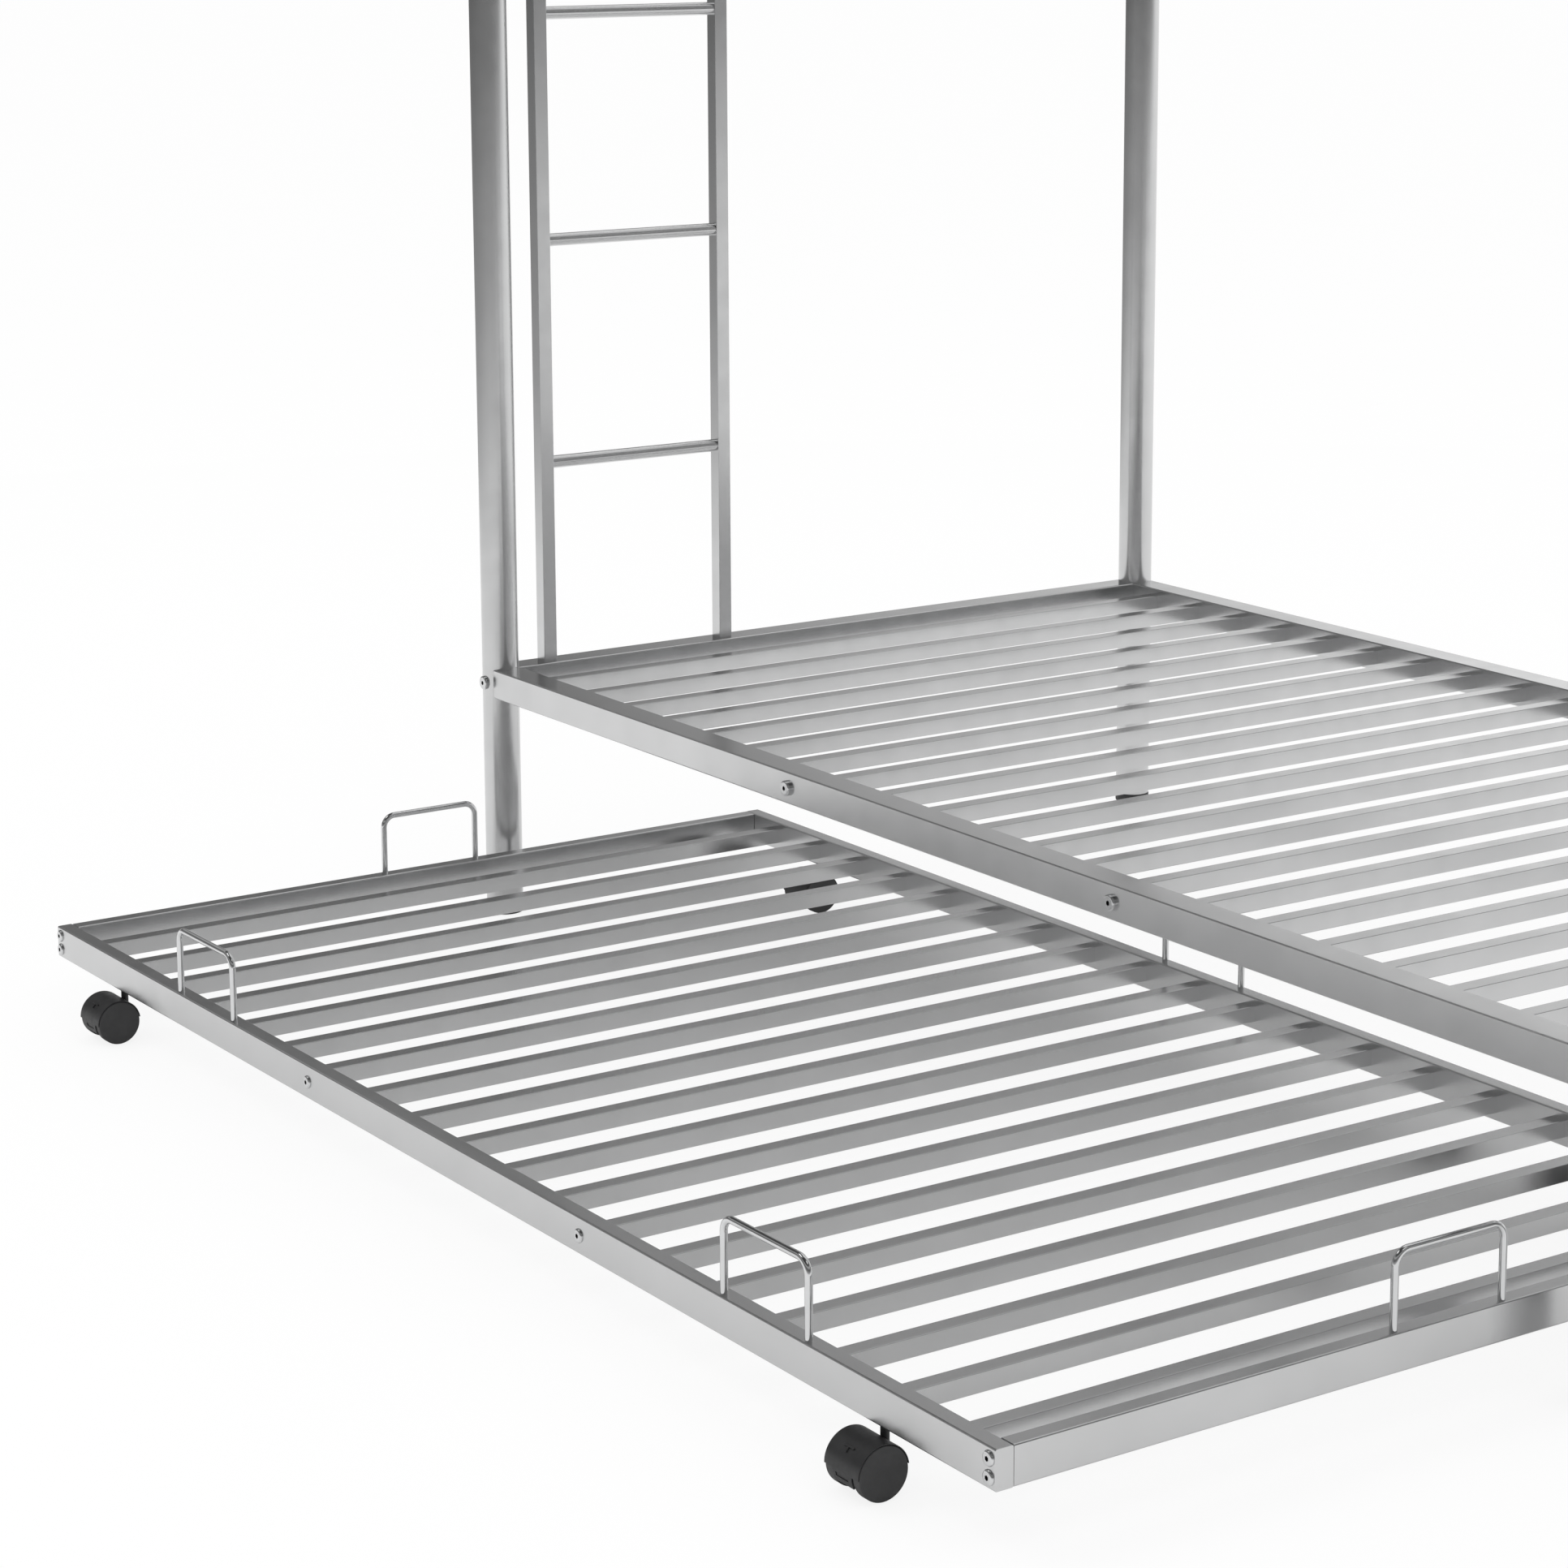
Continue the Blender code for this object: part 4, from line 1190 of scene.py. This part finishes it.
# %% Bright window and ceiling
WINDOW_START = (math.radians(-38), 0)
WINDOW_LEAN, WINDOW_LEAN_RISE = math.radians(84), (0, 0.9)
WINDOW_END = (math.radians(130), math.radians(160))
WINDOW_END_LEAN, WINDOW_END_RISE = math.radians(26), (1.6, 2.4)
WINDOW_TOP = (2.2, 2.8)
CEILING_FROM = (3.4, 4.1)
CEILING_START = (math.radians(45), math.radians(75))
CEILING_END = (math.radians(146), math.radians(164))


def times(tree, first, second):
    """The product of two values."""
    return combine(tree, "MULTIPLY", first, second)


def window_share(tree, place):
    """1 in the window right of and behind the bed and in the bright part of the ceiling."""
    parts = add_node(tree, "SeparateXYZ", {0: place})
    height = parts["Z"]
    heading = combine(tree, "ARCTAN2", parts["Y"], parts["X"])
    lean = spread(tree, height, 0, WINDOW_LEAN, *WINDOW_LEAN_RISE)
    end_lean = spread(tree, height, 0, WINDOW_END_LEAN, *WINDOW_END_RISE)
    sides = times(tree, spread(tree, combine(tree, "SUBTRACT", heading, lean), 0, 1, *WINDOW_START),
                  spread(tree, combine(tree, "ADD", heading, end_lean), 1, 0, *WINDOW_END))
    window = times(tree, sides, spread(tree, height, 1, 0, *WINDOW_TOP))
    sides = times(tree, spread(tree, heading, 0, 1, *CEILING_START),
                  spread(tree, heading, 1, 0, *CEILING_END))
    ceiling = times(tree, sides, spread(tree, height, 0, 1, *CEILING_FROM))
    return combine(tree, "ADD", window, ceiling)


print("the window ends at", round(math.degrees(WINDOW_END[1])), "degrees")

# %% Floor
FLOOR_SIZE = 60
FLOOR_DROP = 0.0005
FLOOR_ROUGHNESS = 0.9
FLOOR_CLOUDS = 3
FLOOR_TONES = ((0.945, 0.945, 0.945), (0.955, 0.955, 0.955))
WHITE_SHARE = 0.85
MIRRORED_SHARE = (0.5, 0.95)
# Levels of the painted shade that the floor shows in reflections: under the bed, near it and to its
# right.
CONTACT_REACH, CONTACT_FROM = 0.25, 0.45
DIM_LEVEL, DIM_RANGE = 0.50, (3.3, 4.6)
NEAR_SHADE_LEVEL, NEAR_RANGE = 0.92, (1.2, 2.0)
RIGHT_SHADE_LEVEL, RIGHT_RANGE = 0.88, (0.95, 1.25)


def one_or_other(tree, share, first, second):
    """A value between two."""
    return add_node(tree, "Mix", {0: share, 2: first, 3: second})[0]


def make_floor_material():
    """White paint that keeps a shadow, whiter for the camera. Where it is mirrored, part of it
    glows, with painted shade under, near and right of the bed, and dimmer far out.
    """
    material, tree, place = new_material("studio_floor")
    paint = tree.nodes["Principled BSDF"]
    speckle = spread(tree, noise(tree, place, FLOOR_CLOUDS), 0, 1)
    tone = between(tree, speckle, *map(opaque, FLOOR_TONES))
    feed(tree, paint.inputs["Roughness"], FLOOR_ROUGHNESS)
    feed(tree, paint.inputs["Base Color"], tone)

    distance = add_node(tree, "VectorMath", {0: place}, operation="LENGTH")["Value"]
    right = add_node(tree, "SeparateXYZ", {0: place})["X"]
    far = spread(tree, distance, 0, 1, *DIM_RANGE)
    outside = spread(tree, window_share(tree, place), 1, 0, 0, 1)
    # Painted shade in reflections: the mirrored floor is a little darker near the bed and to its
    # right.
    near = times(tree, spread(tree, distance, NEAR_SHADE_LEVEL, 1, *NEAR_RANGE),
                 spread(tree, right, 1, RIGHT_SHADE_LEVEL, *RIGHT_RANGE))
    lit = times(tree, near, spread(tree, times(tree, far, outside), 1, DIM_LEVEL, 0, 1))
    # Painted shade in reflections: ambient occlusion darkens the mirrored floor under and next to
    # the bed.
    contact_shade = add_node(tree, "AmbientOcclusion", {"Distance": CONTACT_REACH}, samples=2)["AO"]
    mirror_level = times(tree, lit, spread(tree, contact_shade, 0, 1, CONTACT_FROM, 1))

    shown, mirrored = seen_directly(tree)
    level = one_or_other(tree, mirrored, 1.0, mirror_level)
    mirror_share = spread(tree, far, *MIRRORED_SHARE, 0, 1)
    share = times(tree, shown, one_or_other(tree, mirrored, WHITE_SHARE, mirror_share))
    glow = add_node(tree, "Emission", {"Strength": level})
    show(tree, "Material Output", share, paint.outputs[0], glow[0])
    return material


empty_hands()
bpy.ops.mesh.primitive_plane_add(size=FLOOR_SIZE, location=(0, 0, -FLOOR_DROP))
floor = settle(bpy.context.object)
floor.name = "studio_floor"
floor.data.materials.append(make_floor_material())
print("floor", FLOOR_SIZE, "m wide")

# %% Curtain of greys
CURTAIN_RADIUS = 4.6
CURTAIN_HEIGHT = 6.4
CURTAIN_SIDES = 96
GREYS_BY_HEIGHT = ((0.0, 0.50), (0.25, 0.38), (0.6, 0.28), (0.85, 0.22), (1.1, 0.12), (1.6, 0.12),
                   (2.0, 0.26), (2.4, 0.48), (2.8, 0.42), (3.2, 0.10), (3.8, 0.06))


def make_curtain_material():
    """Greys by height, under a bright window and a bright part of the ceiling."""
    material, tree, place = new_material("curtain_greys")
    height = add_node(tree, "SeparateXYZ", {0: place})["Z"]
    ramp = tree.nodes.new("ShaderNodeValToRGB")
    stops = ramp.color_ramp.elements
    for index, (stop_height, grey) in enumerate(GREYS_BY_HEIGHT):
        stop = stops[0] if index == 0 else stops.new(stop_height / CURTAIN_HEIGHT)
        stop.color = (grey, grey, grey, 1)
    stops[len(stops) - 1].color = stops[len(stops) - 2].color
    feed(tree, ramp.inputs[0], spread(tree, height, 0, 1, 0, CURTAIN_HEIGHT))
    colour = between(tree, window_share(tree, place), ramp.outputs[0], WHITE)
    glow = add_node(tree, "Emission", {"Color": colour})
    feed(tree, tree.nodes["Material Output"].inputs["Surface"], glow[0])
    return material


curtain = disc(0, CURTAIN_HEIGHT, CURTAIN_RADIUS, CURTAIN_SIDES)
open_up(curtain)
choose(curtain, "FACE", lambda face: face.normal.z < -FACING)
bpy.ops.mesh.delete(type="ONLY_FACE")
close_up()
curtain.name = "studio_curtain"
curtain.data.materials.append(make_curtain_material())
for kind in ("camera", "diffuse", "transmission", "volume_scatter", "shadow"):
    setattr(curtain, "visible_" + kind, False)
print("curtain", CURTAIN_RADIUS, "m from the middle")

# %% [markdown]
# ## Lamps
# Two large soft lamps give the black plastic and the floor their shape: the key stands at the front
# left and a weaker one at the right. They hang high inside the curtain, under its dark ceiling.

# %% Soft lamps
LAMPS = {"key_lamp": ((-2.6, -3.4, 5.4), 60), "fill_lamp": ((4.2, 1.0, 5.2), 30)}
LAMP_SIZE = 3.5
LAMP_TARGET = Vector((0, 0, 0.5))

for name, (place, power) in LAMPS.items():
    light = bpy.data.lights.new(name, "AREA")
    light.energy = power
    light.size = LAMP_SIZE
    lamp = bpy.data.objects.new(name, light)
    bpy.context.scene.collection.objects.link(lamp)
    lamp.location = place
    lamp.rotation_euler = (LAMP_TARGET - Vector(place)).to_track_quat("-Z", "Y").to_euler()
print("lamps:", list(LAMPS))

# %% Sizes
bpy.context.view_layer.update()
triangles = sum(len(face.vertices) - 2 for piece in made for face in piece.data.polygons)
print(len(made), "pieces,", triangles, "triangles")
empty_hands()
